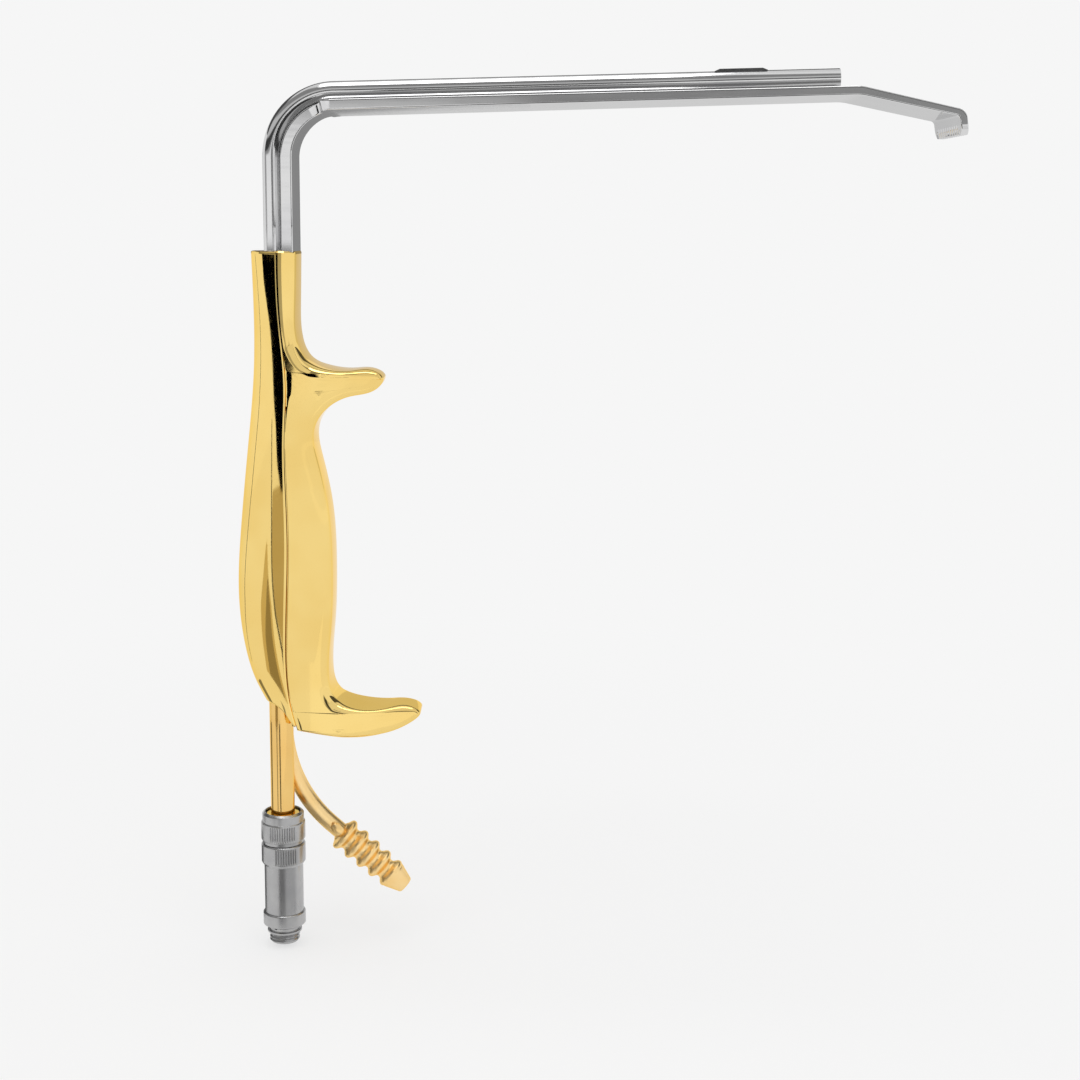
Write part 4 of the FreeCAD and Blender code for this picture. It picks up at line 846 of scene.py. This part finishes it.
for name, material in {
        "tube_saddle": SADDLE_STEEL, "seal_ring": RUBBER, "bundle_ferrule": FITTING, "fibre_bundle": FIBRES,
        "tip_ferrule": TUBE_STEEL, "joining_sleeve": TUBE_STEEL, "retaining_ring": DARK_STEEL,
        "set_screw": DARK_STEEL, "rod_carrier": FITTING, "light_rod": GLASS, "tang_screws": STEEL,
        "handle_cap": GOLD, "lower_plug": STEEL}.items():
    NODES[name].data.materials.clear()
    NODES[name].data.materials.append(material)


# ---------------------------------------------------------------- studio

PAPER = 0.922
BROWN = (1.0, 0.86, 0.58)


def make_world():
    """The room: the camera sees it pale; metal sees bands of tone, by side and by height.

    The side is the angle from straight in front, in degrees, and the height the sine of a
    direction's elevation. In front of the object a belt that changes with the side lies over the
    table's light tone, with bands by height over it that end at the right; behind it the bands by
    height are light, dark and light.
    """
    world = bpy.data.worlds.new("studio")
    bpy.context.scene.world = world
    finish = Finish(world)
    rays = finish.node("ShaderNodeLightPath")
    direction = finish.node("ShaderNodeSeparateXYZ", None, {
        0: finish.node("ShaderNodeTexCoord").out("Generated")})
    x, ahead, height = direction.out(0), direction.out(1) * -1.0, direction.out(2)
    side = x.maths("ARCTAN2", ahead) * (180 / math.pi)
    table, right = 0.96, 0.92
    belt = side.bands(0.7, (-122, 4, 0.4), (-66, 3, 1.0), (-6, 1, 0.22), (16, 6, 0.92), (112, 5, 0.3),
                      (150, 8, 0.4))
    raised = height.bands(0.33, (0.095, 0.015, 0.05), (0.25, 0.03, 0.6), (0.5, 0.04, 0.27), (0.9, 0.04, 0.8))
    raised = side.smooth(41, 51) * (right - raised) + raised
    before = height.smooth(0.046, 0.058) * (raised - belt) + belt
    behind = height.bands(0.92, (0.29, 0.01, 0.08), (0.72, 0.05, 0.8))
    above = ahead.smooth(-0.03, 0.03) * (before - behind) + behind
    tone = height.smooth(-0.018, -0.01) * (above - table) + table
    room = finish.node("ShaderNodeBackground", None, {
        "Color": finish.blend(tone, grey(0.0), WHITE), "Strength": 1.0}).out(0)
    pale = finish.node("ShaderNodeBackground", None, {"Color": grey(PAPER), "Strength": 1.0}).out(0)
    soft = finish.node("ShaderNodeBackground", None, {"Color": grey(0.75), "Strength": 1.0}).out(0)
    shiny = (rays.out("Is Glossy Ray") + rays.out("Is Transmission Ray")).clipped()
    first = finish.node("ShaderNodeMixShader", None, {0: shiny, 1: soft, 2: room}).out(0)
    last = finish.node("ShaderNodeMixShader", None, {0: rays.out("Is Camera Ray"), 1: first, 2: pale})
    finish.end(last.out(0), "ShaderNodeOutputWorld")


def make_floor():
    """A round pale floor: matt near the object, where its shadow falls, and plain pale further out."""
    radius, centre = 1.6, (0.08, 0.0, -0.0012)
    q = np.linspace(0, 2 * np.pi, 96, endpoint=False)
    ring = np.stack([np.cos(q), np.sin(q), np.zeros(96)], axis=1) * radius + centre
    mesh = bpy.data.meshes.new("floor")
    mesh.from_pydata(ring.tolist(), [], [list(range(96))])
    finish = Finish(bpy.data.materials.new("floor_paper"))
    rays = finish.node("ShaderNodeLightPath")
    distance = finish.node("ShaderNodeVectorMath", {"operation": "LENGTH"}, {0: finish.place()}).out("Value")
    matt = finish.node("ShaderNodeBsdfDiffuse", None, {"Color": grey(0.93)}).out(0)
    glow = finish.node("ShaderNodeEmission", None, {"Color": grey(PAPER), "Strength": 1.0}).out(0)
    nearest, rest = 0.7, 0.3
    seen = (rays.out("Is Camera Ray") + rays.out("Is Glossy Ray")).clipped()
    share = seen * (distance.smooth(0.1, 0.42) * rest + nearest)
    finish.end(finish.node("ShaderNodeMixShader", None, {0: share, 1: matt, 2: glow}).out(0))
    mesh.materials.append(finish.owner)
    shown("floor", mesh)


def lamp(name, place, target, size, power):
    """A square area light at a place, turned to a target."""
    data = bpy.data.lights.new(name, "AREA")
    data.shape = "SQUARE"
    data.size = size
    data.energy = power
    made = shown(name, data)
    made.location = place
    made.rotation_euler = (Vector(target) - Vector(place)).to_track_quat("-Z", "Y").to_euler()


def card(name, grid, tone, tint=(1.0, 1.0, 1.0)):
    """A card that only shows in reflections: a grid of points in mm, all of one tone and tint."""
    mesh = mesh_through(name, grid, False)
    finish = Finish(bpy.data.materials.new(name))
    finish.end(finish.node("ShaderNodeEmission", None, {"Color": (*tint, 1.0), "Strength": tone}).out(0))
    mesh.materials.append(finish.owner)
    made = shown(name, mesh)
    made.visible_camera = False
    made.visible_diffuse = False
    made.visible_shadow = False


def screen(name, radius, edges, tone, tint=(1.0, 1.0, 1.0)):
    """A card bent round the light axis: P = (R sin a, -R cos a, h) between two angles at each height.

    Each row of edges is a height in mm and the angles of the left and the right edge in degrees.
    """
    edges = np.asarray(edges, float)
    height = np.linspace(edges[0, 0], edges[-1, 0], 60)
    left = np.interp(height, edges[:, 0], edges[:, 1])
    right = np.interp(height, edges[:, 0], edges[:, 2])
    angle = np.radians(left[:, None] + (right - left)[:, None] * np.linspace(0, 1, 24)[None, :])
    upright = np.broadcast_to(height[:, None], angle.shape)
    card(name, np.stack([radius * np.sin(angle), -radius * np.cos(angle), upright], axis=-1), tone, tint)


def strip(name, radius, bottom, top, left, right, tone):
    """A screen with upright edges."""
    screen(name, radius, [(bottom, left, right), (top, left, right)], tone)


def board(name, corner, first, second, tone):
    """A flat card: P = C + s A + t B."""
    s, t = np.meshgrid((0.0, 1.0), (0.0, 1.0), indexing="ij")
    card(name, np.asarray(corner, float) + s[..., None] * np.asarray(first, float)
         + t[..., None] * np.asarray(second, float), tone)


make_world()
make_floor()
lamp("top_light", (0.05, -0.1, 0.95), (0.05, 0.0, 0.1), 0.55, 2.4)

# Round the handle: the dark strip beside the seam, the brown of its lower half with a thin dark
# line on its left, the brown band low on the cover, the line near its back, and the neck's side.
screen("dark_screen", 200, [(104, -18, -9), (116, -25, -8.6), (134, -31, -8.6), (152, -44, -6),
                            (165, -56, -6), (181, -72, -6), (197, -75, -6)], 0.0)
screen("brown_screen", 204, [(39, -16.2, -12.5), (54, -23, -12.5), (70, -26.5, -12.5), (95, -29.8, -12.5),
                             (106, -31, -12.5)], 0.5, BROWN)
screen("thin_screen", 202, [(28, -19, -16.5), (39, -19.5, -17), (54, -25, -23), (70, -28, -26.5),
                            (95, -31.3, -29.8), (116, -35.6, -34.1), (137, -41, -39.5)], 0.1)
screen("valley_edge", 207, [(6, -56, -22), (20, -52, -25), (38, -49, -28), (57, -46, -29),
                            (72, -41, -33), (86, -38, -36)], 0.6, BROWN)
screen("valley_screen", 206, [(6, -50, -27), (20, -46, -29), (38, -43, -31), (57, -37, -31),
                              (70, -34.5, -33)], 0.3, BROWN)
screen("side_screen", 206, [(-7, -119, -116.5), (54, -95, -92.5), (87, -91, -89), (119, -88, -86),
                            (149, -89, -87), (190, -112, -110)], 0.12)
strip("neck_screen", 205, 168, 197, -9, 16, 0.42)
# Round the post and the connector's sleeve: their upright dark lines.
strip("post_left", 60, 18, 50, -43, -35, 0.3)
strip("post_right", 60, 18, 50, -16, -6, 0.1)
strip("post_edge", 60, 18, 50, -122, -97, 0.25)
strip("sleeve_middle", 24, 0, 27, -20, 14, 0.22)
strip("sleeve_right", 24, 0, 27, 14, 74, 0.6)
strip("sleeve_left", 24, 0, 27, -160, -108, 0.12)
# Behind and before the bar, before the barb, and over the hooks.
board("stem_behind", (-60, 90, 197.6), (130, 0, 0), (0, 0, 34), 0.3)
board("blade_behind", (-150, 400, 140), (600, 0, 0), (0, 0, 100), 0.7)
board("barb_front", (0, -75, 25), (110, 0, 0), (0, 0, 43), 1.0)
board("blade_below", (16, -420, 206), (172, 0, 0), (0, 385, 0), 0.03)
board("hook_above", (16, -420, 204), (220, 0, 0), (0, 385, 0), 0.8)

# The camera stands before the middle of the part, tilted down by the pitch and rolled a little.
CAMERA_PLACE = (0.0738, -0.4907, 0.2103)
PITCH = math.radians(10.4)
ROLL = math.radians(0.6)
camera_data = bpy.data.cameras.new("camera")
camera_data.lens = 58.93
camera_data.sensor_width = 36.0
camera_data.clip_start = 0.01
camera_data.clip_end = 20.0
camera = shown("camera", camera_data)
view = Vector((0.0, math.cos(PITCH), -math.sin(PITCH)))
level = Vector((1.0, 0.0, 0.0))
right = level * math.cos(ROLL) + level.cross(view) * math.sin(ROLL)
turn = Matrix((right, right.cross(view), -view)).transposed()
camera.matrix_world = Matrix.Translation(CAMERA_PLACE) @ turn.to_4x4()
bpy.context.scene.camera = camera
bpy.context.scene.view_settings.view_transform = "Standard"
